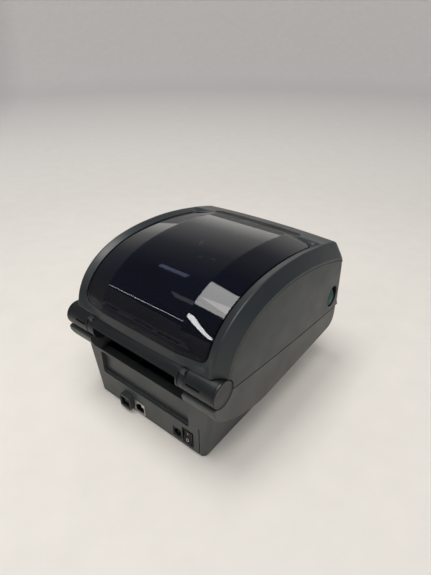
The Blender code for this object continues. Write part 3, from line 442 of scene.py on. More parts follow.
# ---------------------------------------------------------------- outlines of the cover
def bezier(a, b, c, steps):
    """Quadratic curve from a to c, steering by b."""
    result = []
    for k in range(steps + 1):
        t = k / steps
        result.append(tuple((1 - t) ** 2 * p + 2 * t * (1 - t) * q + t * t * r
                            for p, q, r in zip(a, b, c)))
    return result


def crease_line():
    """Crease of the cover in the side view, from the hinge over the top to the nose."""
    span_y, span_z = ARCH_FOOT[0] - CREASE_PEAK[0], CREASE_PEAK[1] - ARCH_FOOT[1]
    rear = []
    for k in range(240):
        angle = math.radians(90.0 * k / 240)
        rear.append((CREASE_PEAK[0] + span_y * math.cos(angle) ** (2 / ARCH_POWER),
                     ARCH_FOOT[1] + span_z * math.sin(angle) ** (2 / ARCH_POWER)))
    steer = (CREASE_NOSE[0] + (CREASE_PEAK[1] - CREASE_NOSE[1]) / NOSE_SLOPE, CREASE_PEAK[1])
    front = bezier(CREASE_PEAK, steer, CREASE_NOSE, 160)
    tip = (CREASE_NOSE[0] - 30.0, CREASE_NOSE[1] - 30.0 * NOSE_SLOPE)
    return np.array(rear + front + [tip])


CREASE = crease_line()
CREASE_S = np.concatenate([[0.0], np.cumsum(np.hypot(*np.diff(CREASE, axis=0).T))])


def along_crease(s, lift=0.0):
    """Point at arc length s of the crease line, lifted along its outward normal."""
    at = [np.interp(s, CREASE_S, CREASE[:, i]) for i in (0, 1)]
    ahead = [np.interp(s + 1.0, CREASE_S, CREASE[:, i]) for i in (0, 1)]
    behind = [np.interp(s - 1.0, CREASE_S, CREASE[:, i]) for i in (0, 1)]
    ty, tz = ahead[0] - behind[0], ahead[1] - behind[1]
    length = math.hypot(ty, tz)
    return at[0] + tz / length * lift, at[1] - ty / length * lift


def crease_s(column, value):
    """Arc length at which the crease line passes a given y (column 0) or z (column 1)."""
    values = CREASE[:, column]
    rear = int(np.argmax(CREASE[:, 1]))
    if column == 1:
        return float(np.interp(value, values[:rear], CREASE_S[:rear]))
    return float(np.interp(-value, -values, CREASE_S))


WINDOW_S = (crease_s(1, WINDOW_Z0), crease_s(0, WINDOW_Y1))
PEAK_S = crease_s(0, CREASE_PEAK[0])
NOSE_S = crease_s(0, CREASE_NOSE[0])
PLATE_S = (crease_s(0, -62.8), crease_s(0, -76.8))


def window_lift(x):
    """Outer surface of the window over the crease: flat middle and sloping facets."""
    return float(np.interp(abs(x), (WINDOW_RIDGE_X, WINDOW_X), (CROWN, -WINDOW_EDGE_DROP)))


def chamfer_share(ax):
    """How far the side chamfer has dropped: straight, then a round edge to the side."""
    reach = (CREASE_X, HALF_W - 1.6, HALF_W - 1.0, HALF_W - 0.4, HALF_W - 0.15, HALF_W)
    return float(np.interp(ax, reach, (0.0, 0.78, 0.835, 0.9, 0.945, 1.0)))


def sharp_lift(x, s):
    """Outer surface of the cover over the crease line."""
    ax = abs(x)
    if ax >= CREASE_X:
        return -float(np.interp(s, (PEAK_S, NOSE_S), CHAMFER_DROP)) * chamfer_share(ax)
    crown = CROWN * (1 - (ax / CREASE_X) ** 2)
    beside = window_lift(x) * (1 - max(0.0, ax - WINDOW_X) / (CREASE_X - WINDOW_X))
    reach = (WINDOW_S[0] - 6, WINDOW_S[0] - 1, WINDOW_S[1] + 1, WINDOW_S[1] + 6)
    zone = float(np.interp(s, reach, (0.0, 1.0, 1.0, 0.0)))
    zone = zone * zone * (3 - 2 * zone)
    return crown + (beside - crown) * zone


def cover_lift(x, s):
    """The same surface with its crease rounded over a millimetre or so."""
    if not CREASE_X - 2.0 < abs(x) < CREASE_X + 2.0:
        return sharp_lift(x, s)
    shares = ((-0.9, 0.25), (0.0, 0.5), (0.9, 0.25))
    return sum(share * sharp_lift(abs(x) + step, s) for step, share in shares)


def front_y(x, z):
    """Front face of the cover: bowed in plan, leaning back above its bulge."""
    edge = max(0.0, abs(x) - (HALF_W - EDGE_R))
    round_off = EDGE_R - math.sqrt(EDGE_R ** 2 - edge ** 2)
    bow = FRONT_BOW * (x / HALF_W) ** 2
    return FRONT + bow + FRONT_LEAN * max(0.0, z - BULGE_Z) + round_off


def seam_points(steps, shift=0.0):
    """Split line between base and cover, front to rear, shifted up or down."""
    mid = SEAM[1]
    steer = (mid[0], 2 * mid[1] - (SEAM[0][1] + SEAM[2][1]) / 2)
    return [(y, z + shift) for y, z in bezier(SEAM[2], steer, SEAM[0], steps)]


SEAM_STEPS = 20
NOSE_STEPS = 12
FACE_Z = (BULGE_Z + 24, BULGE_Z + 10, BULGE_Z)
NOSE_POINTS = NOSE_STEPS + len(FACE_Z)


def cover_ring(x, inset, x_at):
    """Closed outline of the cover at one station across the width."""
    limit = front_y(x, 120.0) + CORNER + inset
    s_values = np.linspace(0.0, CREASE_S[-1], 700)
    ys = [along_crease(s, cover_lift(x, s) - inset)[0] for s in s_values]
    s_end = float(s_values[next(i for i, y in enumerate(ys) if y < limit)])
    spots = [*np.linspace(0.0, WINDOW_S[0] - 6, 8), *np.linspace(WINDOW_S[0] - 5, WINDOW_S[0], 5),
             *np.linspace(WINDOW_S[0] + 2, WINDOW_S[1] - 2, 64),
             *np.linspace(WINDOW_S[1], WINDOW_S[1] + 6, 6),
             *np.linspace(WINDOW_S[1] + 7, s_end, 9)]
    top = [along_crease(s, cover_lift(x, s) - inset) for s in spots]
    ahead = along_crease(s_end + 1.0, cover_lift(x, s_end + 1.0) - inset)
    slope = (top[-1][1] - ahead[1]) / (top[-1][0] - ahead[0])
    corner_z = top[-1][1] - slope * (top[-1][0] - front_y(x, 120.0) - inset)
    low = corner_z - CORNER
    nose = bezier(top[-1], (front_y(x, corner_z) + inset, corner_z),
                  (front_y(x, low) + inset, low), NOSE_STEPS)[1:]
    face = [(front_y(x, z) + inset, z) for z in FACE_Z]
    split = seam_points(SEAM_STEPS, 0.5 * GAP if inset == 0 else -12.0)
    split[0] = (front_y(x, SEAM[2][1]) + inset, split[0][1])
    return spread("X", x_at, top + nose + face + split)


def cover_stations():
    near = (0, 14, 28, 41.5, 42.5, 50, 58, 65, 68.4, 70, 72, 74, 75.2, 75.9, 76.6, 77.3, 78.0,
            79.5, 81.0, 82.5, 83.4, 83.9, 84.5, 85.1, 85.35, HALF_W)
    return [-x for x in reversed(near[1:])] + list(near)


def inner_stations():
    near = (0, 42, 58, 69.5, CREASE_X, 83.9, HALF_W)
    return [-x for x in reversed(near[1:])] + list(near)


def arch_skin(name, half_w, s_range, corner, outer, inner, finish, steps=24, ridges=(), bends=8):
    """Curved sheet on the arch, between two lift functions, with rounded corners."""
    angles = [90.0 * k / bends for k in range(bends + 1)]
    rounds = [half_w - corner * (1 - math.sin(math.radians(a))) for a in angles]
    half = sorted(set([0.0, *ridges, *rounds]))
    rings = []
    for x in [-v for v in reversed(half[1:])] + half:
        over = max(0.0, abs(x) - (half_w - corner))
        trim = corner - math.sqrt(max(0.0, corner ** 2 - over ** 2))
        trim = min(trim, corner * 0.98)
        spots = np.linspace(s_range[0] + trim, s_range[1] - trim, steps)
        above = [along_crease(s, outer(x, s)) for s in spots]
        below = [along_crease(s, inner(x, s)) for s in reversed(spots)]
        rings.append(spread("X", x, above + below))
    return loft(name, rings, finish)


# ---------------------------------------------------------------- cover
def side_outline(rim, low):
    """Outline of a side panel: inside the chamfer, down to the split line."""
    ring = [point[1:] for point in cover_ring(HALF_W, 0.0, HALF_W)]
    top = ring[:-(SEAM_STEPS + 1)]
    bend = len(top) - NOSE_POINTS
    moved = []
    for k, point in enumerate(top):
        before, after = top[max(k - 1, 0)], top[min(k + 1, len(top) - 1)]
        ty, tz = after[0] - before[0], after[1] - before[1]
        length = math.hypot(ty, tz)
        keep = rim - PANEL_RIM * min(1.0, max(0.0, (k - bend) / 6))
        moved.append((point[0] - tz / length * keep, point[1] + ty / length * keep))
    return moved + seam_points(SEAM_STEPS, low)


def hinge_cylinder(name, radius):
    return rod(name, "X", HINGE, radius, -HALF_W - 5, HALF_W + 5, SHELL, 128)


def level(lift):
    """Lift function of a surface at one height over the crease."""
    return lambda x, s: lift


def latch_hole(side, inner, outer):
    hole = circle(LATCH, (LATCH_RY, LATCH_RZ), 64)
    return prism("hole", "X", hole, side * inner, side * outer, SHELL)


def make_shelf():
    """Slotted shelf inside the rear wall, seen through the window's lower part."""
    outline = [(60.0, SHELF_Y[0]), (60.0, SHELF_Y[1]), (-57.0, SHELF_Y[1]), (-57.0, 91.0),
               (-36.0, SHELF_Y[0])]
    # Its light grey is partly its own colour and partly painted light through the window.
    shelf = prism("inner_shelf", "Z", outline, *SHELF_Z, LEDGE_PAINTED_LIGHT)
    for slot in SHELF_SLOTS:
        cut(shelf, block("slot", slot, (SHELF_Y[0] + 1.6, SHELF_Y[0] + 4.8), (90.0, 110.0), LEDGE_PAINTED_LIGHT))
    place(bevel(shelf, 0.3), "cover", "shell")


def make_lugs():
    """Fans that fill the barrel's notches, with a neck up to the rear wall."""
    neck_z = (SHELF_Z[0] + SHELF_Z[1]) / 2
    lug = arc(HINGE, LUG_EYE, 100.0, 360.0 + LUG_FAN[0], 24) + arc(HINGE, LUG_R, *LUG_FAN, 32)
    lug += [(HINGE_Y + 2.4, HINGE_Z + 12.5), (HINGE_Y + 2.2, neck_z),
            (HINGE_Y - 1.0, neck_z), (HINGE_Y - 2.0, HINGE_Z + 11.0)]
    for side, word in ((-1, "left"), (1, "right")):
        lug_x = sorted((side * (NOTCH_X[0] + GAP), side * (NOTCH_X[1] - GAP)))
        piece = prism(f"hinge_lug_{word}", "X", lug, *lug_x, BARREL)
        place(bevel(piece, 0.3), "cover", "shell")


def make_cover():
    """The lid's shell with its window opening, panel pockets and exit notch."""
    rings = [cover_ring(x, 0.0, x) for x in cover_stations()]
    cover = loft("cover_shell", rings, SHELL)
    squeeze = (HALF_W - SIDE_WALL) / HALF_W
    rings = [cover_ring(x, WALL, x * squeeze) for x in inner_stations()]
    cut(cover, loft("hollow", rings, SHELL))
    cut(cover, arch_skin("opening", WINDOW_X + 0.6, WINDOW_S, WINDOW_CORNER + 0.6,
                         level(12.0), level(-16.0), SHELL, 90))
    cut(cover, arch_skin("plate_pocket", PLATE_X, PLATE_S, PLATE_R, level(6.0),
                         lambda x, s: cover_lift(x, s) - 1.3, SHELL, 8))
    cut(cover, hinge_cylinder("clear", HINGE_CLEAR))
    pocket = [(y - 4.0 if y < -96.0 else y, z) for y, z in side_outline(PANEL_RIM, -14.0)]
    for side in (-1, 1):
        inner_x = side * (HALF_W - PANEL_T - GAP)
        cut(cover, prism("pocket", "X", pocket, inner_x, side * (HALF_W + 4), SHELL))
        cut(cover, latch_hole(side, HALF_W - 8, HALF_W + 4))
    cut(cover, block("exit", (-EXIT_X, EXIT_X), (FRONT - 5, FRONT + 16), (40.0, EXIT_Z), SHELL))
    cut(cover, rod("feed_hole", "Y", FEED, FEED_R + 3.4, FRONT - 5, FRONT + 14, SHELL))
    bevel(smooth(cover), 0.35)
    place(cover, "cover", "shell", "cover_frame")


def edged_plate(name, outline, side, finish, edge=0.5):
    """Flat plate in the side wall whose outer rim is rounded over."""
    centre = np.mean(np.array(outline), axis=0)
    rings = []
    for x, pull in ((HALF_W - PANEL_T, 0.0), (HALF_W - edge, 0.0), (HALF_W - 0.35 * edge, 0.12),
                    (HALF_W - 0.08 * edge, 0.32), (HALF_W, 0.6)):
        ring = []
        for k, point in enumerate(outline):
            before, after = outline[k - 1], outline[(k + 1) % len(outline)]
            normal = Vector((-(after[1] - before[1]), after[0] - before[0])).normalized()
            if normal.dot(Vector(centre) - Vector(point)) < 0:
                normal.negate()
            ring.append((side * x, point[0] + normal.x * pull, point[1] + normal.y * pull))
        rings.append(ring)
    return loft(name, rings, finish)


def make_side_panels():
    """Inset side panels, cut for the barrel and the release buttons."""
    for side, word in ((-1, "left"), (1, "right")):
        panel = edged_plate(f"side_skin_{word}", side_outline(PANEL_RIM + GAP, GAP), side, PANEL)
        cut(panel, hinge_cylinder("clear", HINGE_CLEAR))
        cut(panel, latch_hole(side, HALF_W - 4, HALF_W + 4))
        smooth(panel, 40.0)
        place(panel, "cover", "panel", f"side_panel_{word}")


def make_window():
    """Smoked window with crisp ridges, on its black seal."""
    pane = arch_skin("window_pane", WINDOW_X - JOINT, (WINDOW_S[0] + 0.6, WINDOW_S[1] - 0.6),
                     WINDOW_CORNER, lambda x, s: window_lift(x),
                     lambda x, s: window_lift(x) - WINDOW_T, WINDOW, 96,
                     (28.0, WINDOW_RIDGE_X - 0.5, WINDOW_RIDGE_X, WINDOW_RIDGE_X + 0.5, 56.0), 12)
    edge = pane.modifiers.new("edge", "BEVEL")
    edge.width = 0.4 * MM
    edge.segments = 2
    edge.angle_limit = math.radians(50.0)
    smooth(pane, 30.0)
    place(pane, "cover", "smoked", "window")
    drop = WINDOW_T + 2 * GAP

    def under(x, s):
        return window_lift(min(abs(x), WINDOW_X)) - drop

    seal = arch_skin("seal_band", WINDOW_X + 3.0, (WINDOW_S[0] - 3, WINDOW_S[1] + 3),
                     WINDOW_CORNER + 3, under, lambda x, s: under(x, s) - 1.6, RUBBER, 90,
                     (WINDOW_RIDGE_X,))
    cut(seal, arch_skin("inside", WINDOW_X - 4.0, (WINDOW_S[0] + 4, WINDOW_S[1] - 4),
                        WINDOW_CORNER - 3, level(8.0), level(-16.0), RUBBER, 60))
    place(smooth(seal), "cover", "rubber", "window_seal")


def make_plate():
    """Blank recessed plate on the top, with rounded ends, and a rim with a painted highlight."""
    plate = arch_skin("blank_plate", PLATE_X - GAP, (PLATE_S[0] + GAP, PLATE_S[1] - GAP),
                      PLATE_R - GAP,
                      lambda x, s: cover_lift(x, s) - 0.2, lambda x, s: cover_lift(x, s) - 1.0,
                      PLATE, 10)
    bevel(plate, 0.2)
    place(plate, "cover", "black_plastic", "label_plate")
    # The rim's light grey is a painted highlight where light catches the recess edge.
    rim = arch_skin("plate_rim_painted_highlight", PLATE_X + 0.6, (PLATE_S[0] - 0.5, PLATE_S[1] + 0.5), PLATE_R + 0.5,
                    lambda x, s: cover_lift(x, s) + 0.08, lambda x, s: cover_lift(x, s) - 0.6,
                    RIM_HIGHLIGHT, 10)
    cut(rim, arch_skin("inside", PLATE_X - 0.1, (PLATE_S[0] + 0.1, PLATE_S[1] - 0.1), PLATE_R - 0.1,
                       level(6.0), level(-8.0), RIM_HIGHLIGHT, 10))
    place(bevel(rim, 0.1), "cover", "shell")


def make_feed_button():
    """Round feed button with a dished face, inside its status light."""
    face = front_y(*FEED)
    ring = turned("light_ring", "Y", FEED, ((FEED_R + 3.0, face + 4.0), (FEED_R + 3.0, face + 0.5),
                                            (FEED_R + 2.7, face + 0.2), (FEED_R + 0.9, face + 0.2),
                                            (FEED_R + 0.5, face + 0.6), (FEED_R + 0.5, face + 4.0)),
                  LIGHT_PIPE)
    place(ring, "cover", "light_pipe", "status_ring")
    button = turned("feed_key", "Y", FEED, ((1.0, face - 0.15), (3.5, face - 0.25),
                                            (5.4, face - 0.55), (6.2, face - 0.6),
                                            (6.7, face - 0.35), (FEED_R, face + 0.2),
                                            (FEED_R, face + 6.5), (FEED_R - 3, face + 6.5),
                                            (FEED_R - 3, face + 9.0)), PANEL)
    place(button, "feed_button", "shell", "feed_button")


def make_latch_buttons():
    """Teal oval release buttons, domed, in their side openings, with dark screens behind."""
    profile = ((0.9, 76.4), (0.9, 82.0), (0.965, 83.4), (0.98, 84.1), (0.96, 84.6), (0.89, 84.95),
               (0.76, 85.15), (0.55, 85.27), (0.3, 85.3))
    for side, word in ((-1, "left"), (1, "right")):
        rings = []
        for f, x in profile:
            ring = circle((BUTTON_Y, LATCH[1]), (BUTTON_RY * f, BUTTON_RZ * f))
            rings.append([(side * (x - BUTTON_LEAN * max(0.0, z - LATCH[1]) / BUTTON_RZ), y, z)
                          for y, z in ring])
        button = loft(f"release_{word}", rings, TEAL)
        place(button, "latch", "teal", f"latch_button_{word}")
        screen_x = sorted(side * x for x in SCREEN_X)
        screen = block(f"latch_screen_{word}", screen_x, SCREEN_Y, SCREEN_Z, DARK)
        place(bevel(screen, 0.2), "cover", "black_plastic")


# ---------------------------------------------------------------- base
def tub_ring(z, inset=0.0):
    """Plan outline of the lower tub at one height."""
    half = TUB_X0 + TUB_TAPER * z - inset
    front = float(np.interp(z, (0.0, 38.0, 62.0), (-70.0, -89.0, -94.0))) + inset
    rear = TUB_REAR - (REAR_WALL if inset else 0.0)
    return spread("Z", z, rounded((-half, half), (front, rear), TUB_R, 10))


def belt_ring(x, drop, inset):
    """Side view of the belt under the split line: its lower edge sweeps up to the hinge."""
    bow = FRONT_BOW * (x / HALF_W) ** 2
    front = FRONT + 4.4 + bow + inset
    seam = seam_points(SEAM_STEPS, -0.5 * GAP)
    seam[0] = (front, SEAM[2][1] - 0.5 * GAP)
    chin = bezier((front, 54.0), (front, 40.0 - drop), (front + 14.0, 38.8 - drop + inset), 12)
    sweep = bezier((32.0, 36.0 - drop + inset), (68.0, 37.0 - drop + inset),
                   (98.0 - inset, 61.5), 22)
    heel = bezier((98.0 - inset, 61.5), (105.0 - inset, 69.0), (104.8 - inset, 76.0), 8)[1:]
    return spread("X", x, seam[::-1] + chin + sweep + heel)


def make_base():
    """Lower housing: tapered tub, flared belt, hinge cradle, slot, recess and port holes."""
    heights = (BASE_Z, 10.0, 20.0, 30.0, 38.0, 47.0, 56.0)
    base = loft("base_shell", [tub_ring(z) for z in heights], BASE_PAINTED_LIGHT)
    stations = [(HALF_W, 0.0, 1.0), (HALF_W - 0.15, 0.0, 0.6), (HALF_W - 0.5, 0.0, 0.3),
                (HALF_W - 0.9, 0.0, 0.1), (HALF_W - 1.4, 0.0, 0.0), (HALF_W - 6.0, 2.4, 0.0),
                (HALF_W - 11.0, 5.0, 0.0), (HALF_W - 30.0, 5.0, 0.0), (HALF_W - 60.0, 5.0, 0.0)]
    rings = [belt_ring(-x, drop, inset) for x, drop, inset in stations]
    rings += [belt_ring(x, drop, inset) for x, drop, inset in reversed(stations)]
    join(base, loft("belt", rings, BASE_PAINTED_LIGHT))
    cut(base, loft("tub_hollow", [tub_ring(z, WALL + 0.2) for z in (-2.0, 20.0, 38.0, 60.0)], BASE_PAINTED_LIGHT))
    hollow = [(-95.4, 110.0), (-95.4, 57.0), (-90.5, 46.0), (-84.0, 42.5), (40.0, 39.5),
              (62.0, 45.0), (78.0, 53.0), (82.0, 58.0), (82.0, 110.0)]
    cut(base, prism("belt_hollow", "X", hollow, -HALF_W + 2.8, HALF_W - 2.8, BASE_PAINTED_LIGHT))
    cut(base, hinge_cylinder("cradle", HINGE_R + 0.6))
    cut(base, block("slot", (-SLOT_X, SLOT_X), (70.0, 112.0), (SLOT_Z, 100.0), BASE_PAINTED_LIGHT))
    cut(base, prism("recess", "Y", rounded(RECESS_X, RECESS_Z, 2.5), TUB_REAR - RECESS_D,
                    TUB_REAR + 10, BASE_PAINTED_LIGHT))
    step_z = (RECESS_Z[0] - 1.8, RECESS_Z[1])
    cut(base, prism("step", "Y", rounded(RECESS_X, step_z, 2.5), TUB_REAR - 1.6, TUB_REAR + 10,
                    BASE_PAINTED_LIGHT))
    cut(base, block("bezel_notch", (-BEZEL_X - GAP, BEZEL_X + GAP), (-110.0, -90.0), (48.0, 80.0),
                    BASE_PAINTED_LIGHT))
    join(base, prism("hood", "Y", rounded((USB_X - 6.9, USB_X + 6.9), (3.6, 19.0), 2.0),
                     TUB_REAR - 2, TUB_REAR + 5.0, BASE_PAINTED_LIGHT))
    port_holes = ((USB_X, 6.1, 5.6, 11.4), (LAN_X, 7.1, 7.0, PORTS_Z), (DC_X, 5.0, 5.7, 11.0),
                  (SWITCH_X, 6.3, 8.6, SWITCH_Z))
    for x, half, tall, z in port_holes:
        cut(base, block("port", (x - half, x + half), (80.0, 106.0), (z - tall, z + tall), BASE_PAINTED_LIGHT))
    cut(base, block("groove", (-62.2, -61.2), (TUB_REAR - 1, TUB_REAR + 9), (0.0, 33.0), BASE_PAINTED_LIGHT))
    bevel(smooth(base), 0.4)
    place(base, "base", "shell", "base_housing")


def make_bezel():
    """Front strip under the label exit."""
    rings = []
    for k in range(25):
        x = -BEZEL_X + 2 * BEZEL_X * k / 24
        bow = FRONT_BOW * (x / HALF_W) ** 2
        top = bezier((-98.0, 66.5), (-103.6 + bow, 66.5), (FRONT + bow, 64.0), 6)
        low = bezier((FRONT + bow, 64.0), (-104.6 + bow, 61.0), (-100.6 + bow, 57.0), 6)[1:]
        rings.append(spread("X", x, top + low + [(-100.6 + bow, 48.5), (-98.0, 48.5)]))
    bezel = loft("exit_bezel", rings, BASE_PAINTED_LIGHT)
    bevel(bezel, 0.3)
    place(bezel, "base", "shell", "front_bezel")


# ---------------------------------------------------------------- hinge
def make_barrel():
    """Barrel on the rear edge: thin shell over the slot, and knuckles with lug notches."""
    barrel = rod("hinge_tube", "X", HINGE, HINGE_R, -BARREL_END, BARREL_END, BARREL, 128)
    cut(barrel, block("under", (-KNUCKLE_X, KNUCKLE_X), (70.0, 110.0),
                      (60.0, HINGE_Z + LIP_RISE), BARREL))
    core_x = KNUCKLE_X - 1.5
    cut(barrel, rod("core", "X", HINGE, HINGE_R - 2.6, -core_x, core_x, BARREL, 96))
    low, high = LUG_FAN[0] - OPEN_ANGLE - 4.0, 104.0
    notch = arc(HINGE, HINGE_R + 2.0, low, high, 48)
    notch += arc(HINGE, LUG_EYE + GAP, high, low + 360.0, 24)
    for side in (-1, 1):
        cut(barrel, prism("notch", "X", notch, side * NOTCH_X[0], side * NOTCH_X[1], BARREL))
        slit = (side * 58.5, side * 72.0)
        cut(barrel, block("slit", sorted(slit), (HINGE_Y + 9.2, HINGE_Y + 14),
                          (HINGE_Z + 2.4, HINGE_Z + 4.0), BARREL))
    bevel(smooth(barrel), 0.3)
    place(barrel, "base", "shell", "hinge_barrel")


def make_hinge_ends():
    """End caps with a raised rim, and the pins."""
    bore = (KNUCKLE_X + 1, NOTCH_X[1] + 12)
    for side, word in ((-1, "left"), (1, "right")):
        profile = ((HINGE_R, BARREL_END + 0.3), (HINGE_R, HALF_W - 0.75),
                   (HINGE_R - 0.12, HALF_W - 0.35),
                   (HINGE_R - 0.4, HALF_W - 0.1), (HINGE_R - 0.8, HALF_W),
                   (HINGE_R - 1.2, HALF_W - 0.05), (HINGE_R - 1.5, HALF_W - 0.25),
                   (HINGE_R - 1.9, HALF_W - 0.3), (4.0, HALF_W - 0.2), (0.6, HALF_W - 0.18))
        profile = [(radius, side * x) for radius, x in profile]
        cap = turned(f"barrel_cap_{word}", "X", HINGE, profile, BARREL, 96)
        place(cap, "base", "shell", f"hinge_cap_{word}")
        place(rod(f"pin_stub_{word}", "X", HINGE, PIN_R - 0.05, side * (bore[0] + 0.4),
                  side * (bore[1] - 0.4), STEEL, 40), "base", "steel", f"hinge_pin_{word}")


def make_lug_blocks():
    """Small hinge blocks where the cover's lower edge meets the barrel."""
    for side, word in ((-1, "left"), (1, "right")):
        x = sorted((side * (NOTCH_X[0] + 0.9), side * (NOTCH_X[1] - 0.9)))
        body = block(f"lug_block_{word}", x, (HINGE_Y + 4.6, HINGE_Y + 8.4),
                     (HINGE_Z + 7.4, HINGE_Z + 11.2), SHELL)
        bevel(body, 0.5, 3)
        place(body, "cover", "shell")


# ---------------------------------------------------------------- ports
def make_ports():
    """Sockets and switch in the rear wall."""
    coat("usb_socket", DARK, 0.2)
    coat("lan_socket", SHIELD, 0.15)
    coat("power_socket", DARK, 0.25)
    coat("switch_case", DARK, 0.3)
    coat("power_rocker", DARK, 0.4)
    mouth_x = (LAN_X - JACK_HALF_W, LAN_X + JACK_HALF_W)
    liner = block("jack_liner", mouth_x, (84.05, TUB_REAR - 0.4), JACK_Z, DARK)
    cut(liner, block("hollow", (mouth_x[0] + 0.4, mouth_x[1] - 0.4), (84.6, TUB_REAR + 2),
                     (JACK_Z[0] + 0.4, JACK_Z[1] + 2), DARK))
    place(bevel(liner, 0.1), "base", "black_plastic")
    for k in range(8):
        x = LAN_X + JACK_FIRST + k * JACK_PITCH
        blade = block(f"jack_contact_{k + 1}", (x - 0.2, x + 0.2), (85.0, 89.5),
                      (PORTS_Z + 1.5, PORTS_Z + 2.1), GOLD)
        place(bevel(blade, 0.06), "base", "steel")
    for k in range(4):
        x = USB_X + USB_FIRST + k * USB_PITCH
        blade = block(f"usb_contact_{k + 1}", (x - 0.3, x + 0.3), (92.0, 97.8), (13.0, 13.25), GOLD)
        place(bevel(blade, 0.06), "base", "steel")


def make_switch_marks():
    """Generic on and off marks on the rocker: a bar and a ring."""
    axis_y, tilt = TUB_REAR - 2.4, math.radians(8.0)

    def on_rocker(x, up, out):
        """Point on the rocker's face: up along it from its axis, out from its plane."""
        depth = 2.0 + abs(up) / 6.6 * 1.0 + out
        return (x, axis_y + depth * math.cos(tilt) - up * math.sin(tilt),
                SWITCH_Z + depth * math.sin(tilt) + up * math.cos(tilt))

    rings = []
    for k in range(32):
        turn = math.radians(360.0 * k / 32)
        section = []
        for radius, out in ((1.45, -0.05), (1.45, 0.06), (1.05, 0.06), (1.05, -0.05)):
            x = SWITCH_X + radius * math.cos(turn)
            section.append(on_rocker(x, -3.4 + radius * math.sin(turn), out))
        rings.append(section)
    verts = [point for ring in rings for point in ring]
    faces = []
    for k in range(32):
        for i in range(4):
            a, b = 4 * k + i, 4 * k + (i + 1) % 4
            faces.append((a, b, (b + 4) % 128, (a + 4) % 128))
    place(mesh_object("off_mark", verts, faces, MARK), "rocker", "white_nylon")
    corners = [(SWITCH_X + sx * 0.22, 3.4 + su * 1.4)
               for sx, su in ((-1, -1), (1, -1), (1, 1), (-1, 1))]
    bar = [[on_rocker(x, up, out) for x, up in corners] for out in (-0.05, 0.06)]
    place(loft("on_mark", bar, MARK), "rocker", "white_nylon")


# ---------------------------------------------------------------- inside and underneath
def make_feet_and_screws():
    """Round rubber feet, and the screws of the bottom plate."""
    for k, (x, y) in enumerate(FEET):
        profile = ((0.6, 0.15), (4.6, 0.0), (5.6, 0.0), (6.3, 0.15), (6.8, 0.6), (7.0, 1.0),
                   (7.0, 1.6), (2.6, 1.6), (2.6, 3.3), (3.6, 3.9), (2.0, 5.4))
        foot = turned(f"foot_{k + 1}", "Z", (x, y), profile, RUBBER, 48)
        place(foot, "base", "rubber", f"rubber_foot_{k + 1}")
        coat(f"bottom_screw_{k + 1}", STEEL, 0.15)


def make_rollers():
    """Platen roller and the roll hubs, turned smooth."""
    roller = turned("platen_rubber", "X", PLATEN, ((3.3, -PLATEN_X), (8.4, -PLATEN_X),
                                                   (8.85, -PLATEN_X + 0.2),
                                                   (PLATEN_R, -PLATEN_X + 0.6),
                                                   (PLATEN_R, PLATEN_X - 0.6),
                                                   (8.85, PLATEN_X - 0.2), (8.4, PLATEN_X),
                                                   (3.3, PLATEN_X)), RUBBER, 96)
    place(roller, "platen", "rubber", "platen_roller")
    for side, word in ((-1, "left"), (1, "right")):
        profile = ((3.35, 50.4), (9.6, 50.3), (10.6, 50.45), (11.4, 51.2), (ROLL_HUB_R, 52.2),
                   (ROLL_HUB_R, 54.4), (16.6, 54.4), (17.0, 54.7), (17.0, 55.8), (3.35, 56.0))
        profile = [(radius, side * x) for radius, x in profile]
        hub = turned(f"core_hub_{word}", "X", (BAY_Y, BAY_Z), profile, INNER, 72)
        for turn in range(3):
            angle = math.radians(90.0 + 120.0 * turn)
            centre = (BAY_Y + 7.2 * math.cos(angle), BAY_Z + 7.2 * math.sin(angle))
            cut(hub, rod("window", "X", centre, 2.2, side * 45.0, side * 53.0, INNER, 24))
        bevel(hub, 0.2)
        place(hub, f"hub_{word}", "inner_grey", f"roll_hub_{word}")


def coat_inside():
    """Materials and rounded edges of the CAD nodes that keep their shape."""
    finishes = ((INNER, 0.3, ("media_tray", "roll_holder_left", "roll_holder_right")),
                # Zinc-plated frames and head parts in near-black steel: painted shade inside the
                # printer.
                (STEEL_PAINTED_SHADE, 0.2, ("side_frame_left", "side_frame_right", "latch_bar",
                                  "latch_catch_left", "latch_catch_right",
                                  "head_hanger", "head_carrier")),
                (SINK, 0.15, ("heat_sink",)),
                (STEEL, 0.15, ("tear_bar", "motor_pinion", "platen_shaft")),
                (SINK, 0.4, ("stepper_motor",)),
                (CERAMIC, 0.1, ("print_head",)),
                (NYLON, 0.12, ("platen_bush_left", "platen_bush_right", "platen_gear",
                               "idler_gear", "holder_pinion")),
                (BOARD, 0.1, ("mainboard",)),
                (DARK, 0.3, ("media_sensor", "bottom_plate")))
    for finish, edge, nodes in finishes:
        for node in nodes:
            coat(node, finish, edge)


# ---------------------------------------------------------------- floor, light, camera
FLAT_R, RIM_R = 2.3, 1.2        # metres
FLOOR_DROP = 0.05               # millimetres under the soles
LOW_RIM = (0.41, -0.91)         # direction in which the rim is lowest


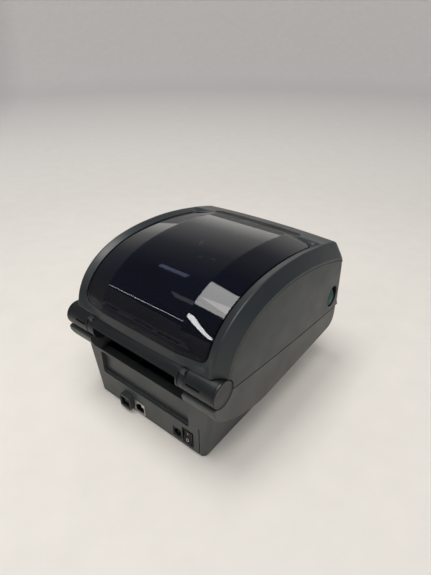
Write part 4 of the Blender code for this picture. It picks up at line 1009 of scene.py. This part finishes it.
def make_floor():
    """Large pale floor, level with the soles, swept up at its rim, least towards the wall."""
    profile = [(reach, 0.0) for reach in (0.3, 0.7, 1.2, 1.8, FLAT_R)]
    profile += [(FLAT_R + RIM_R * math.sin(a), RIM_R - RIM_R * math.cos(a))
                for a in (math.radians(5.0 * k) for k in range(1, 12))]
    count = 96
    verts = [(0.0, 0.0, -FLOOR_DROP)]
    for reach, rise in profile:
        for a in (2 * math.pi * k / count for k in range(count)):
            x, y = math.cos(a), math.sin(a)
            tall = float(np.interp(LOW_RIM[0] * x + LOW_RIM[1] * y, (-0.3, 0.5), (3.2, 1.0)))
            verts.append((reach / MM * x, reach / MM * y, tall * rise / MM - FLOOR_DROP))
    faces = [(0, 1 + i, 1 + (i + 1) % count) for i in range(count)]
    for j in range(len(profile) - 1):
        for i in range(count):
            a, b = 1 + j * count + i, 1 + j * count + (i + 1) % count
            faces.append((a, b, b + count, a + count))
    mesh_object("floor", verts, faces, floor_surface())


def lamp(name, where, target, size, power, colour):
    """Soft rectangular studio light, size in metres, aimed at a point."""
    data = bpy.data.lights.new(name, "AREA")
    data.shape = "RECTANGLE"
    data.size, data.size_y = size
    data.energy = power
    data.color = colour
    obj = bpy.data.objects.new(name, data)
    bpy.context.scene.collection.objects.link(obj)
    obj.location = where
    obj.rotation_euler = (Vector(target) - Vector(where)).to_track_quat("-Z", "Y").to_euler()


IVORY, WARM = (1.0, 0.99, 0.97), (1.0, 0.98, 0.95)
WHITE, BLUE = (1.0, 1.0, 1.0), (0.55, 0.6, 1.0)
# name, middle, point aimed at, size in metres, watts, colour
LAMPS = (("ceiling_panel", (0.40, 0.18, 2.0), (0.40, 0.18, 0.0), (0.6, 1.1), 16.0, IVORY),
         ("soft_box", (-0.5, 0.35, 2.6), (-0.2, 0.1, 0.0), (1.6, 1.6), 30.0, WARM),
         ("near_tube", (0.50, 2.25, 2.0), (0.50, 2.25, 0.0), (0.08, 1.7), 8.0, WHITE),
         ("far_tube", (2.4, 2.3, 2.0), (2.4, 2.3, 0.0), (1.2, 0.06), 2.5, WHITE),
         ("blue_strip", (1.48, -0.35, 2.0), (1.48, -0.35, 0.0), (0.24, 0.16), 0.2, BLUE),
         ("dim_panel", (0.95, 0.68, 2.0), (0.95, 0.68, 0.0), (1.0, 0.22), 0.5, WHITE))
BRIGHT_WALL = (0.53, -0.66, -0.53)     # direction in which the surroundings are brightest
WORLD_TONES = ((0.0, (0.12, 0.125, 0.14)), (0.4, (0.28, 0.28, 0.29)), (0.65, (0.75, 0.73, 0.7)),
               (0.9, (2.3, 2.25, 2.17)))


def make_lights():
    """Lamps of the studio, and surroundings that brighten towards one wall."""
    for row in LAMPS:
        lamp(*row)
    world = bpy.data.worlds.new("studio")
    world.use_nodes = True
    tree = world.node_tree
    direction = tree.nodes.new("ShaderNodeTexCoord").outputs["Generated"]
    ahead = tree.nodes.new("ShaderNodeVectorMath")
    ahead.operation = "DOT_PRODUCT"
    ahead.inputs[1].default_value = BRIGHT_WALL
    tree.links.new(direction, ahead.inputs[0])
    tones = colour_ramp(tree, ahead.outputs["Value"], WORLD_TONES)
    tree.links.new(tones, tree.nodes["Background"].inputs["Color"])
    bpy.context.scene.world = world
    bpy.context.scene.view_settings.view_transform = "Standard"


CAMERA_AZIMUTH, CAMERA_ELEVATION, CAMERA_ROLL = 218.724, 31.945, -0.328     # degrees
CAMERA_AT = (-0.2205, 0.2702, 0.3160)       # metres
CAMERA_LENS = 27.04


def make_camera():
    """Camera that looks at the printer from behind and above."""
    azimuth, elevation, roll = (math.radians(a) for a in (CAMERA_AZIMUTH, CAMERA_ELEVATION,
                                                          CAMERA_ROLL))
    back = Vector((math.sin(azimuth) * math.cos(elevation),
                   -math.cos(azimuth) * math.cos(elevation), math.sin(elevation)))
    level = (-back).cross(Vector((0, 0, 1))).normalized()
    upright = level.cross(-back)
    right = level * math.cos(roll) + upright * math.sin(roll)
    up = upright * math.cos(roll) - level * math.sin(roll)
    data = bpy.data.cameras.new("camera")
    data.sensor_width = 36.0
    data.lens = CAMERA_LENS
    camera = bpy.data.objects.new("camera", data)
    bpy.context.scene.collection.objects.link(camera)
    turn = Matrix((right, up, back)).transposed().to_4x4()
    camera.matrix_world = Matrix.Translation(CAMERA_AT) @ turn
    bpy.context.scene.camera = camera


make_camera()
make_floor()
make_lights()
make_cover()
make_shelf()
make_side_panels()
make_window()
make_plate()
make_feed_button()
make_latch_buttons()
make_base()
make_bezel()
make_barrel()
make_hinge_ends()
make_lugs()
make_lug_blocks()
make_ports()
make_switch_marks()
make_feet_and_screws()
make_rollers()
coat_inside()
